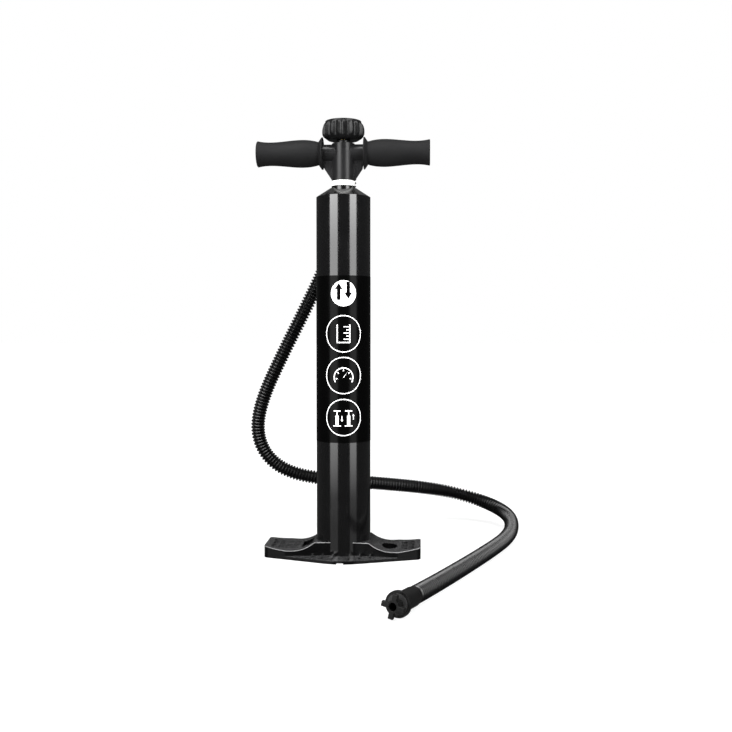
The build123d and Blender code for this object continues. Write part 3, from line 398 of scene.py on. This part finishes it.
# ---------------------------------------------------------------- hose
@dataclass
class Hose:
    """Corrugated hose on its line, from the elbow to the cuff."""

    finishes: Finishes
    radius: float = 0.0115
    groove: float = 0.0034
    pitch: float = 0.0052
    rings_a_pitch: int = 8
    sides: int = 26
    plain_end: float = 0.006
    length: float = 1.4628
    route: list[Point] = field(default_factory=lambda: [
        (0.0040, 0.0570, 0.5760),
        (0.0035, 0.0638, 0.5406),
        (-0.0085, 0.0810, 0.4960),
        (-0.0350, 0.0940, 0.4380),
        (-0.0690, 0.1030, 0.3700),
        (-0.1060, 0.1130, 0.3000),
        (-0.1400, 0.1250, 0.2320),
        (-0.1540, 0.1340, 0.1840),
        (-0.1505, 0.1420, 0.1460),
        (-0.1310, 0.1505, 0.1155),
        (-0.0990, 0.1610, 0.0960),
        (-0.0540, 0.1750, 0.0855),
        (-0.0020, 0.1930, 0.0785),
        (0.0520, 0.2170, 0.0710),
        (0.1060, 0.2400, 0.0630),
        (0.1570, 0.2540, 0.0540),
        (0.1940, 0.2550, 0.0450),
        (0.2280, 0.2425, 0.0360),
        (0.2535, 0.2160, 0.0275),
        (0.2650, 0.1800, 0.0200),
        (0.2610, 0.1220, 0.0140),
        (0.2460, 0.0620, 0.0117),
        (0.2210, -0.0050, 0.0116),
        (0.1910, -0.0780, 0.0116),
        (0.1570, -0.1570, 0.0116),
        (0.1240, -0.2340, 0.0126),
        (0.1055, -0.2800, 0.0147),
    ])

    def line(self) -> list[Vector]:
        """Reads closely spaced points from the smooth line through the route.

        Returns:
            Points along the hose's middle.
        """
        curve = bpy.data.curves.new("hose_line", "CURVE")
        curve.dimensions = "3D"
        curve.resolution_u = 40
        spline = curve.splines.new("NURBS")
        spline.points.add(len(self.route) - 1)
        for place, corner in zip(spline.points, self.route):
            place.co = (*corner, 1.0)
        spline.order_u = 3
        spline.use_endpoint_u = True
        holder = bpy.data.objects.new("hose_line", curve)
        mesh = bpy.data.meshes.new_from_object(holder)
        points = [vertex.co.copy() for vertex in mesh.vertices]
        bpy.data.objects.remove(holder)
        bpy.data.meshes.remove(mesh)
        bpy.data.curves.remove(curve)
        return points

    def centres(self) -> list[Vector]:
        """Spaces the rings' middles evenly along the line.

        Returns:
            One point for each ring.
        """
        points = self.line()
        reach = [0.0]
        for before, after in zip(points, points[1:]):
            reach.append(reach[-1] + (after - before).length)
        count = round(reach[-1] / self.pitch * self.rings_a_pitch)
        middles, at = [], 0
        for ring in range(count + 1):
            goal = reach[-1] * ring / count
            while at < len(points) - 2 and reach[at + 1] < goal:
                at += 1
            share = (goal - reach[at]) / max(reach[at + 1] - reach[at], 1e-9)
            middles.append(points[at].lerp(points[at + 1], min(1.0, share)))
        return middles

    def build(self) -> bpy.types.Object:
        """Returns:
            The hose.
        """
        middles = self.centres()
        step = self.pitch / self.rings_a_pitch
        last = len(middles) - 1
        across = Vector((1.0, 0.0, 0.0))
        points, faces = [], []
        for ring, middle in enumerate(middles):
            along = (middles[min(ring + 1, last)] - middles[max(ring - 1, 0)]).normalized()
            across = (across - along * across.dot(along)).normalized()
            other = along.cross(across)
            from_end = min(ring, last - ring) * step
            depth = self.groove * crossed(self.plain_end, self.plain_end + self.pitch, from_end)
            crest = 0.5 + 0.5 * math.cos(2 * math.pi * ring / self.rings_a_pitch)
            radius = self.radius - depth * (1.0 - crest)
            for side in range(self.sides):
                turn = 2 * math.pi * side / self.sides
                points.append(middle + (across * math.cos(turn) + other * math.sin(turn)) * radius)
        for ring in range(last):
            low, high = ring * self.sides, (ring + 1) * self.sides
            for side in range(self.sides):
                after = (side + 1) % self.sides
                faces.append((low + side, low + after, high + after, high + side))
        faces.append(tuple(reversed(range(self.sides))))
        faces.append(tuple(range(last * self.sides, (last + 1) * self.sides)))
        hose = new_piece("corrugated_hose", points, faces)
        sharp_above(hose, 60)
        self.finishes.dress(hose, self.finishes.material(HOSE_SKIN))
        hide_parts("hose")
        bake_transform(hose)
        return hose


# ---------------------------------------------------------------- label
@dataclass
class LabelPrint:
    """White print on the label: a filled disc over three rings, each with a generic sign."""

    finishes: Finishes
    radius: float = 0.0402
    lift: float = 0.00006
    disc_z: float = 0.387
    disc_r: float = 0.01875
    ring_z: tuple[float, ...] = (0.3286, 0.2682, 0.2074)
    ring_r: float = 0.0276
    ring_line: float = 0.0013
    stroke: float = 0.0016
    turned: float = math.radians(4.9)
    slices: int = 14
    slice_width: float = 0.002
    disc_sign_up: float = 0.0035
    disc_sign_size: float = 0.0165
    small_pumps: tuple[tuple[float, int], ...] = ((-0.0095, -1), (0.0075, 1))
    small_pump_size: float = 0.0115

    def wrap(self, name: str, shapes: list, layer: int, finish: Finish) -> bpy.types.Object:
        """Bends flat outlines round the barrel as a thin layer of print.

        Args:
            name: the piece's name.
            shapes: outlines of (across, height) points.
            layer: 1 for print on the film, 2 for print on that.
            finish: the ink.

        Returns:
            The printed piece.
        """
        sheet = bmesh.new()
        for shape in shapes:
            corners = [sheet.verts.new((across, 0.0, height)) for across, height in shape]
            sheet.faces.new(corners)
        bmesh.ops.triangulate(sheet, faces=sheet.faces[:])
        for cut in range(-self.slices, self.slices + 1):
            parts = sheet.verts[:] + sheet.edges[:] + sheet.faces[:]
            at = (cut * self.slice_width, 0, 0)
            bmesh.ops.bisect_plane(sheet, geom=parts, plane_co=at, plane_no=(1, 0, 0))
        bmesh.ops.remove_doubles(sheet, verts=sheet.verts[:], dist=1e-6)
        top = self.radius + self.lift * layer
        body = bmesh.ops.extrude_face_region(sheet, geom=sheet.faces[:])
        outer = {part for part in body["geom"] if isinstance(part, bmesh.types.BMVert)}
        for vertex in sheet.verts:
            turn = vertex.co.x / self.radius + self.turned
            reach = top if vertex in outer else self.radius - self.lift
            vertex.co = Vector((reach * math.sin(turn), -reach * math.cos(turn), vertex.co.z))
        bmesh.ops.recalc_face_normals(sheet, faces=sheet.faces[:])
        mesh = bpy.data.meshes.new(name)
        sheet.to_mesh(mesh)
        sheet.free()
        piece = bpy.data.objects.new(name, mesh)
        bpy.context.scene.collection.objects.link(piece)
        self.finishes.dress(piece, self.finishes.material(finish))
        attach(piece, "barrel")
        return piece

    @staticmethod
    def arc(centre: tuple[float, float], radius: float, line: float, start: float = 0.0,
            stop: float = 360.0) -> list:
        """Outlines of a curved line, in short four-sided steps.

        Args:
            centre: (across, height) of its middle.
            radius: radius of its middle line.
            line: its width.
            start: first angle in degrees.
            stop: last angle in degrees.

        Returns:
            The outlines.
        """
        steps = max(6, int((stop - start) / 5))
        inner, outer = radius - line / 2, radius + line / 2
        shapes = []
        for step in range(steps):
            turns = [math.radians(start + (stop - start) * (step + end) / steps) for end in (0, 1)]
            first, second = [(math.cos(turn), math.sin(turn)) for turn in turns]
            shapes.append([(centre[0] + first[0] * inner, centre[1] + first[1] * inner),
                           (centre[0] + first[0] * outer, centre[1] + first[1] * outer),
                           (centre[0] + second[0] * outer, centre[1] + second[1] * outer),
                           (centre[0] + second[0] * inner, centre[1] + second[1] * inner)])
        return shapes

    @staticmethod
    def bar(x0: float, x1: float, z0: float, z1: float) -> list[tuple[float, float]]:
        """Outline of a rectangle."""
        return [(x0, z0), (x1, z0), (x1, z1), (x0, z1)]

    @staticmethod
    def arrow(x: float, z: float, size: float, upward: int) -> list[tuple[float, float]]:
        """Outline of a triangle that points up or down."""
        return [(x - size, z), (x + size, z), (x, z + upward * 1.5 * size)]

    def two_way_sign(self, x: float, z: float, size: float) -> list:
        """Outlines of an arrow up beside an arrow down, the sign of a double action."""
        half = size * 0.16
        shapes = []
        for side, upward in ((-1, 1), (1, -1)):
            middle = x + side * size * 0.42
            tail = sorted((z - upward * size * 0.8, z + upward * size * 0.15))
            shapes.append(self.bar(middle - half, middle + half, *tail))
            shapes.append(self.arrow(middle, z + upward * size * 0.15, size * 0.36, upward))
        return shapes

    def volume_sign(self, z: float) -> list:
        """Outlines of a cylinder with its level marks."""
        reach = self.ring_r * 0.36
        shapes = [self.bar(-reach, reach, z - reach * 1.35, z - reach * 1.35 + self.stroke)]
        for side in (-1, 1):
            edge = sorted((side * reach, side * (reach - self.stroke)))
            shapes.append(self.bar(edge[0], edge[1], z - reach * 1.35, z + reach * 1.35))
        for mark in range(5):
            height = z - reach * 0.85 + mark * reach * 0.45
            length = reach * (1.0 if mark % 2 == 0 else 0.6)
            shapes.append(self.bar(reach - length, reach - self.stroke * 0.9,
                                   height, height + self.stroke * 0.8))
        return shapes

    def pressure_sign(self, z: float) -> list:
        """Outlines of a dial with its needle."""
        reach = self.ring_r * 0.5
        shapes = self.arc((0.0, z - reach * 0.2), reach, self.stroke, -30, 210)
        for tick in range(5):
            turn = math.radians(-10 + 50 * tick)
            inner, outer = reach * 0.66, reach * 0.84
            side = (-math.sin(turn) * self.stroke / 2, math.cos(turn) * self.stroke / 2)
            base = (math.cos(turn), math.sin(turn))
            shapes.append([(base[0] * r + k * side[0], base[1] * r + k * side[1] + z - reach * 0.2)
                           for r, k in ((inner, -1), (outer, -1), (outer, 1), (inner, 1))])
        shapes.append([(-self.stroke * 0.7, z - reach * 0.25), (self.stroke * 0.7, z - reach * 0.15),
                       (reach * 0.42, z + reach * 0.42)])
        return shapes

    def pump_sign(self, x: float, z: float, size: float, upward: int) -> list:
        """Outlines of a small pump with an arrow beside it."""
        shapes = [self.bar(x - size * 0.2, x + size * 0.2, z - size, z + size * 0.25),
                  self.bar(x - size * 0.5, x + size * 0.5, z - size * 1.12, z - size),
                  self.bar(x - size * 0.06, x + size * 0.06, z + size * 0.25, z + size * 0.75),
                  self.bar(x - size * 0.45, x + size * 0.45, z + size * 0.75, z + size * 0.9)]
        side = x + size * 0.62
        shapes.append(self.bar(side - size * 0.05, side + size * 0.05, z - size * 0.3, z + size * 0.2))
        shapes.append(self.arrow(side, z + (0.2 if upward > 0 else -0.3) * size, size * 0.16, upward))
        return shapes

    def build(self) -> None:
        """Prints the disc, its sign and the three rings."""
        round_edge = [(self.disc_r * math.cos(math.radians(5 * step)),
                       self.disc_z + self.disc_r * math.sin(math.radians(5 * step))) for step in range(72)]
        self.wrap("label_disc", [round_edge], 1, LABEL_INK)
        two_way = self.two_way_sign(0.0, self.disc_z + self.disc_sign_up, self.disc_sign_size)
        self.wrap("label_disc_sign", two_way, 2, LABEL_FILM)
        pumps = [outline for x, upward in self.small_pumps
                 for outline in self.pump_sign(x, self.ring_z[2], self.small_pump_size, upward)]
        signs = (self.volume_sign(self.ring_z[0]), self.pressure_sign(self.ring_z[1]), pumps)
        for number, (height, sign) in enumerate(zip(self.ring_z, signs), start=1):
            ring = self.arc((0.0, height), self.ring_r - self.ring_line, self.ring_line)
            self.wrap(f"label_ring_{number}", ring, 1, LABEL_INK)
            self.wrap(f"label_sign_{number}", sign, 1, LABEL_INK)


# ---------------------------------------------------------------- gauge
@dataclass
class GaugeKnob:
    """Ribbed knob round the gauge, with the printed dial under its lens."""

    finishes: Finishes
    low_z: float = 0.6135
    ribs: int = 18
    rib_depth: float = 0.0038
    dial_z: float = 0.63135
    numbers: tuple[str, ...] = ("0", "5", "10", "15", "20", "25", "30")
    start_angle: float = 225.0
    sweep: float = 270.0
    steps_a_rib: int = 16
    sharp_from: float = 50
    print_height: float = 0.00004
    mark_steps: int = 5
    marks_outer_r: float = 0.0206
    long_mark: tuple[float, float] = (0.0172, 0.00028)
    short_mark: tuple[float, float] = (0.0184, 0.00014)
    red_band_r: float = 0.0213
    red_band_line: float = 0.0009
    red_from: float = 225.0
    number_r: float = 0.0140
    number_size: float = 0.0052

    def knob(self) -> None:
        """Turns the ribbed housing, open at the top where the lens sits."""
        rows = [(0.0105, 0.0, 0.0), (0.0215, 0.0, 0.0), (0.0229, 0.0004, 0.0), (0.0240, 0.0012, 0.0),
                (0.0262, 0.0026, 0.1), (0.0285, 0.0042, 0.5), (0.0302, 0.0062, 0.9), (0.0311, 0.0084, 1.0),
                (0.0313, 0.0110, 1.0), (0.0313, 0.0138, 1.0), (0.0311, 0.0164, 1.0), (0.0305, 0.0190, 1.0),
                (0.0296, 0.0214, 0.9), (0.0284, 0.0234, 0.5), (0.0272, 0.0247, 0.1), (0.0265, 0.0252, 0.0),
                (0.0267, 0.0266, 0.0), (0.0264, 0.0273, 0.0), (0.0258, 0.0275, 0.0), (0.02395, 0.0275, 0.0),
                (0.02385, 0.0274, 0.0), (0.02385, 0.0242, 0.0), (0.02265, 0.0242, 0.0),
                (0.02255, 0.0241, 0.0), (0.02255, 0.0040, 0.0), (0.0105, 0.0040, 0.0)]
        outline = [(radius, self.low_z + up, wave * self.rib_depth) for radius, up, wave in rows]
        knob = lathe("gauge_knob", outline, self.ribs * self.steps_a_rib, self.ribs)
        sharp_above(knob, self.sharp_from)
        self.finishes.dress(knob, self.finishes.material(KNOB_MOULD))
        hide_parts("gauge_housing")
        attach(knob, "gauge")

    def put_print(self, name: str, outlines: list, finish: Finish) -> None:
        """Prints flat outlines on the dial as a thin layer.

        Args:
            name: the piece's name.
            outlines: outlines of (x, y) points, counter-clockwise.
            finish: the ink.
        """
        points, faces = [], []
        for outline in outlines:
            count, base = len(outline), len(points)
            points += [(x, y, self.dial_z - self.print_height) for x, y in outline]
            points += [(x, y, self.dial_z + self.print_height) for x, y in outline]
            faces.append(tuple(base + count + corner for corner in range(count)))
            faces.append(tuple(base + corner for corner in reversed(range(count))))
            for corner in range(count):
                after = (corner + 1) % count
                above = base + count
                faces.append((base + corner, base + after, above + after, above + corner))
        piece = new_piece(name, points, faces, smooth=False)
        self.finishes.dress(piece, self.finishes.material(finish))
        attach(piece, "gauge")

    def ticks(self) -> None:
        """Prints the scale's marks and its red end."""
        marks = []
        count = (len(self.numbers) - 1) * self.mark_steps
        for number in range(count + 1):
            turn = math.radians(self.start_angle - self.sweep * number / count)
            inner, half = self.short_mark if number % self.mark_steps else self.long_mark
            outer = self.marks_outer_r
            along = (math.cos(turn), math.sin(turn))
            side = (-along[1] * half, along[0] * half)
            marks.append([(along[0] * r + k * side[0], along[1] * r + k * side[1])
                          for r, k in ((inner, -1), (outer, -1), (outer, 1), (inner, 1))])
        self.put_print("dial_marks", marks, LABEL_FILM)
        band = LabelPrint.arc((0.0, 0.0), self.red_band_r, self.red_band_line,
                              self.start_angle - self.sweep, self.start_angle - self.red_from)
        self.put_print("dial_end_band", band, NEEDLE_RED)

    def figures(self) -> None:
        """Sets the plain numbers round the dial."""
        for place, number in enumerate(self.numbers):
            turn = math.radians(self.start_angle - self.sweep * place / (len(self.numbers) - 1))
            curve = bpy.data.curves.new("dial_number", "FONT")
            curve.body = number
            curve.size = self.number_size
            curve.align_x = "CENTER"
            curve.align_y = "CENTER"
            curve.extrude = self.print_height
            curve.resolution_u = 3
            holder = bpy.data.objects.new("dial_number", curve)
            mesh = bpy.data.meshes.new_from_object(holder)
            place_on_dial = (self.number_r * math.cos(turn), self.number_r * math.sin(turn), self.dial_z)
            mesh.transform(Matrix.Translation(place_on_dial))
            bpy.data.objects.remove(holder)
            bpy.data.curves.remove(curve)
            mesh.materials.clear()
            piece = bpy.data.objects.new(f"dial_number_{number}", mesh)
            bpy.context.scene.collection.objects.link(piece)
            self.finishes.dress(piece, self.finishes.material(LABEL_FILM))
            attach(piece, "gauge")

    def build(self) -> None:
        """Makes the knob, the scale and the numbers."""
        self.knob()
        self.ticks()
        self.figures()


# ---------------------------------------------------------------- foot edge bead, a painted highlight
@dataclass
class FootEdgePaintedHighlight:
    """Thin light grey bead along the front upper edges of the foot's wings, a painted highlight standing in
    for the glints on those edges.
    """

    finishes: Finishes
    radius: float = 0.0006
    low_z: float = 0.009
    near_x: float = 0.014
    wing_x: float = 0.06
    middle_front_y: float = -0.012
    wing_front_y: float = -0.0295
    top_normal_z: float = 0.6
    front_normal_z: float = 0.3
    front_normal_y: float = -0.4
    overrun: float = 0.4
    sides: int = 6

    def edges(self) -> list[tuple[Vector, Vector]]:
        """Finds the edges between the foot's upper and front faces.

        Returns:
            The two ends of each edge.
        """
        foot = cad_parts["base_foot"]
        sheet = bmesh.new()
        sheet.from_mesh(foot.data)
        bmesh.ops.remove_doubles(sheet, verts=sheet.verts[:], dist=1e-6)
        sheet.transform(foot.matrix_world)
        sheet.normal_update()
        found = []
        for edge in sheet.edges:
            if len(edge.link_faces) != 2 or edge.calc_length() < 1e-5:
                continue
            normals = sorted((face.normal for face in edge.link_faces), key=lambda normal: normal.z)
            middle = (edge.verts[0].co + edge.verts[1].co) / 2
            front_y = self.middle_front_y if abs(middle.x) < self.wing_x else self.wing_front_y
            placed = middle.y < front_y and abs(middle.x) > self.near_x and middle.z > self.low_z
            front, top = normals
            upright = abs(front.z) < self.front_normal_z and front.y < self.front_normal_y
            if placed and upright and top.z > self.top_normal_z:
                found.append((edge.verts[0].co.copy(), edge.verts[1].co.copy()))
        sheet.free()
        return found

    def build(self) -> int:
        """Lays the bead, the painted highlight.

        Returns:
            How many edges it follows.
        """
        found = self.edges()
        points, faces = [], []
        for start, stop in found:
            along = (stop - start).normalized()
            across = along.orthogonal().normalized()
            other = along.cross(across)
            base = len(points)
            past = along * self.radius * self.overrun
            for end in (start - past, stop + past):
                for side in range(self.sides):
                    turn = 2 * math.pi * side / self.sides
                    points.append(end + (across * math.cos(turn) + other * math.sin(turn)) * self.radius)
            for side in range(self.sides):
                after = (side + 1) % self.sides
                far = base + self.sides
                faces.append((base + side, base + after, far + after, far + side))
            faces.append(tuple(base + side for side in reversed(range(self.sides))))
            faces.append(tuple(base + self.sides + side for side in range(self.sides)))
        # the bead is coloured light grey as a painted highlight on the foot's edges
        painted_highlight_bead = new_piece("foot_edge_painted_highlight", points, faces)
        self.finishes.dress(painted_highlight_bead, self.finishes.material(FOOT_EDGE_PAINTED_HIGHLIGHT))
        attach(painted_highlight_bead, "barrel")
        return len(found)


# ---------------------------------------------------------------- carried-over nodes
@dataclass
class CarriedNodes:
    """Finishes of the nodes whose CAD shape is shown as it is."""

    finishes: Finishes

    def build(self) -> int:
        """Dresses every node.

        Returns:
            How many nodes were dressed.
        """
        groups = {
            GLOSS_BARREL: ("barrel_tube",),
            GLOSS_CAP: ("top_cap", "base_plug", "rod_seal_keeper", "inlet_valve_retainer",
                        "down_stroke_retainer"),
            LABEL_FILM: ("label_film",),
            BUSH_WHITE: ("rod_bush", "piston_body", "piston_cover"),
            ROD_POLISH: ("piston_rod",),
            HUB_MOULD: ("handle_body", "handle_cover", "hose_elbow"),
            KNOB_MOULD: ("gauge_housing",),
            GRIP_RUBBER: ("left_grip", "right_grip"),
            SEAL_RUBBER: ("base_plug_ring", "cap_ring", "rod_seal", "piston_lower_seal", "piston_upper_seal",
                          "inlet_valve_disc", "down_stroke_valve", "up_stroke_valve", "gauge_seal",
                          "nozzle_gasket"),
            STEEL: ("base_screws", "piston_screws", "piston_pin", "handle_pin", "hub_screws",
                    "gauge_movement"),
            BRASS: ("gauge_stem",),
            DIAL_WHITE: ("gauge_dial",),
            NEEDLE_RED: ("gauge_needle",),
            GLOSS_CAP_RIM: ("gauge_bezel",),
            NOZZLE_MOULD: ("hose_cuff", "nozzle_body"),
            HOSE_SKIN: ("hose",),
        }
        dressed = 0
        for finish, names in groups.items():
            for name in names:
                self.finishes.dress(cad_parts[name], self.finishes.material(finish))
                dressed += 1
        for name, material in (("base_foot", self.finishes.tread()), ("gauge_lens", self.finishes.lens())):
            self.finishes.dress(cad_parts[name], material)
            dressed += 1
        return dressed


# ---------------------------------------------------------------- studio
@dataclass
class Studio:
    """Camera, white surroundings, two tall lights that streak the barrel and a light above."""

    eye: Point = (0.1201, -1.4002, 0.3283)
    heading_deg: float = 3.54
    pitch_deg: float = 1.94
    lens_mm: float = 46.5
    sensor_mm: float = 36.0
    behind_glow: tuple[float, float, float, float] = (-0.75, 0.35, 0.05, 0.075)
    above_glow: tuple[float, float, float, float] = (0.15, 0.8, 0.0, 0.5)
    floor_reach: float = 30.0
    floor_grey: float = 0.25
    floor_glow: tuple[float, float, float, float] = (0.35, 1.2, 0.8, 1.0)
    light_low: float = -0.5
    light_high: float = 2.2
    light_reach: float = 1.5
    light_azimuths: tuple[float, float, float] = (23.0, 28.0, 57.0)
    light_levels: tuple[tuple[float, float], ...] = ((-0.3, 0.045), (-0.16, 0.035), (-0.05, 0.26),
                                                     (0.1, 0.45), (0.6, 0.55), (0.75, 1.0))
    light_power: float = 10.0
    top_light_y: tuple[float, float] = (-0.95, -0.35)
    top_light_z: float = 2.0
    top_light_half: float = 0.8
    top_light_power: float = 14.0

    def camera(self) -> None:
        """Places the camera."""
        data = bpy.data.cameras.new("camera")
        data.lens = self.lens_mm
        data.sensor_width = self.sensor_mm
        camera = bpy.data.objects.new("camera", data)
        bpy.context.scene.collection.objects.link(camera)
        camera.location = self.eye
        camera.rotation_euler = (math.radians(90.0 - self.pitch_deg), 0.0, math.radians(self.heading_deg))
        bpy.context.scene.camera = camera

    def world(self) -> None:
        """Makes the surroundings: plain white to look at, graded as a source of light."""
        world = bpy.data.worlds.new("studio")
        bpy.context.scene.world = world
        world.use_nodes = True
        tree = world.node_tree
        put, join = tree.nodes.new, tree.links.new
        tree.nodes.clear()
        out, mix = put("ShaderNodeOutputWorld"), put("ShaderNodeMixShader")
        white, graded = put("ShaderNodeBackground"), put("ShaderNodeBackground")
        rays = put("ShaderNodeLightPath")
        white.inputs["Color"].default_value = (1.0, 1.0, 1.0, 1.0)
        place, parts = put("ShaderNodeTexCoord"), put("ShaderNodeSeparateXYZ")
        join(place.outputs["Generated"], parts.inputs["Vector"])
        behind, above, both = put("ShaderNodeMapRange"), put("ShaderNodeMapRange"), put("ShaderNodeMath")
        for node, socket, limits in ((behind, "Y", self.behind_glow), (above, "Z", self.above_glow)):
            set_range(node, limits)
            join(parts.outputs[socket], node.inputs["Value"])
        both.operation = "MAXIMUM"
        join(behind.outputs["Result"], both.inputs[0])
        join(above.outputs["Result"], both.inputs[1])
        join(both.outputs[0], graded.inputs["Strength"])
        join(rays.outputs["Is Camera Ray"], mix.inputs["Fac"])
        join(graded.outputs[0], mix.inputs[1])
        join(white.outputs[0], mix.inputs[2])
        join(mix.outputs[0], out.inputs["Surface"])

    def floor(self) -> None:
        """Lays the floor: dull enough to take shadows, with a glow that grows to white away from the pump."""
        material = bpy.data.materials.new("studio_floor")
        material.use_nodes = True
        shader = material.node_tree.nodes["Principled BSDF"]
        shader.inputs["Base Color"].default_value = (self.floor_grey, self.floor_grey, self.floor_grey, 1.0)
        shader.inputs["Roughness"].default_value = 1.0
        shader.inputs["Specular IOR Level"].default_value = 0.0
        shader.inputs["Emission Color"].default_value = (1.0, 1.0, 1.0, 1.0)
        put, join = material.node_tree.nodes.new, material.node_tree.links.new
        place, away = put("ShaderNodeTexCoord"), put("ShaderNodeVectorMath")
        glow = put("ShaderNodeMapRange")
        away.operation = "LENGTH"
        set_range(glow, self.floor_glow)
        join(place.outputs["Object"], away.inputs[0])
        join(away.outputs["Value"], glow.inputs["Value"])
        join(glow.outputs["Result"], shader.inputs["Emission Strength"])
        reach = self.floor_reach
        floor = new_piece("studio_floor", [(-reach, -reach, 0), (reach, -reach, 0), (reach, reach, 0),
                                           (-reach, reach, 0)], [(0, 1, 2, 3)], smooth=False)
        floor.visible_glossy = False
        floor.data.materials.append(material)

    def softbox(self, name: str, side: int) -> None:
        """Stands one tall light panel beside the camera, dim low down and bright above.

        Args:
            name: the panel's name.
            side: -1 for the left, 1 for the right.
        """
        left_near, right_near, far = self.light_azimuths
        near = left_near if side < 0 else right_near
        low, high = self.light_low, self.light_high
        points = []
        for azimuth in (near, far):
            turn = math.radians(-90.0 + self.heading_deg + side * azimuth)
            across = (self.light_reach * math.cos(turn), self.light_reach * math.sin(turn))
            points += [(*across, low), (*across, high)]
        panel = new_piece(name, points, [(0, 2, 3, 1) if side > 0 else (0, 1, 3, 2)], smooth=False)
        material = bpy.data.materials.new(name)
        material.use_nodes = True
        tree = material.node_tree
        tree.nodes.clear()
        put, join = tree.nodes.new, tree.links.new
        out, glow = put("ShaderNodeOutputMaterial"), put("ShaderNodeEmission")
        place, parts = put("ShaderNodeTexCoord"), put("ShaderNodeSeparateXYZ")
        levels = put("ShaderNodeValToRGB")
        share, power = put("ShaderNodeMapRange"), put("ShaderNodeMath")
        set_range(share, (low, high))
        stops = levels.color_ramp.elements
        for height, level in self.light_levels:
            at = (height - low) / (high - low)
            stops.new(at).color = (level, level, level, 1.0)
        stops[0].color = stops[1].color
        stops[-1].color = stops[-2].color
        power.operation = "MULTIPLY"
        power.inputs[1].default_value = self.light_power
        join(place.outputs["Object"], parts.inputs["Vector"])
        join(parts.outputs["Z"], share.inputs["Value"])
        join(share.outputs["Result"], levels.inputs["Fac"])
        join(levels.outputs["Color"], power.inputs[0])
        join(power.outputs[0], glow.inputs["Strength"])
        join(glow.outputs[0], out.inputs["Surface"])
        panel.data.materials.append(material)
        panel.visible_camera = False

    def top_light(self) -> None:
        """Hangs a light above and in front, which glints on rounded edges and drops soft contact shadows."""
        near, far = self.top_light_y
        half, up = self.top_light_half, self.top_light_z
        corners = [(-half, near, up), (half, near, up), (half, far, up), (-half, far, up)]
        panel = new_piece("light_top", corners, [(0, 3, 2, 1)], smooth=False)
        material = bpy.data.materials.new("light_top")
        material.use_nodes = True
        tree = material.node_tree
        tree.nodes.clear()
        out, glow = tree.nodes.new("ShaderNodeOutputMaterial"), tree.nodes.new("ShaderNodeEmission")
        glow.inputs["Strength"].default_value = self.top_light_power
        tree.links.new(glow.outputs[0], out.inputs["Surface"])
        panel.data.materials.append(material)
        panel.visible_camera = False

    def build(self) -> None:
        """Sets the studio up."""
        scene = bpy.context.scene
        scene.view_settings.view_transform = "Standard"
        scene.view_settings.look = "None"
        self.camera()
        self.world()
        self.floor()
        self.top_light()
        for name, side in (("light_left", -1), ("light_right", 1)):
            self.softbox(name, side)


def main() -> None:
    """Builds the studio and the pump."""
    logging.basicConfig(level=logging.INFO, format="%(name)s: %(message)s")
    Studio().build()
    finishes = Finishes()
    hose = Hose(finishes).build()
    LOG.info("hose: %d vertices", len(hose.data.vertices))
    LOG.info("nodes dressed: %d", CarriedNodes(finishes).build())
    # the foot bead is a painted highlight along the wings' front upper edges
    LOG.info("painted foot highlight edges: %d", FootEdgePaintedHighlight(finishes).build())
    LabelPrint(finishes).build()
    LOG.info("label printed")
    GaugeKnob(finishes).build()
    LOG.info("gauge knob and dial made")


if __name__ == "__main__":
    main()
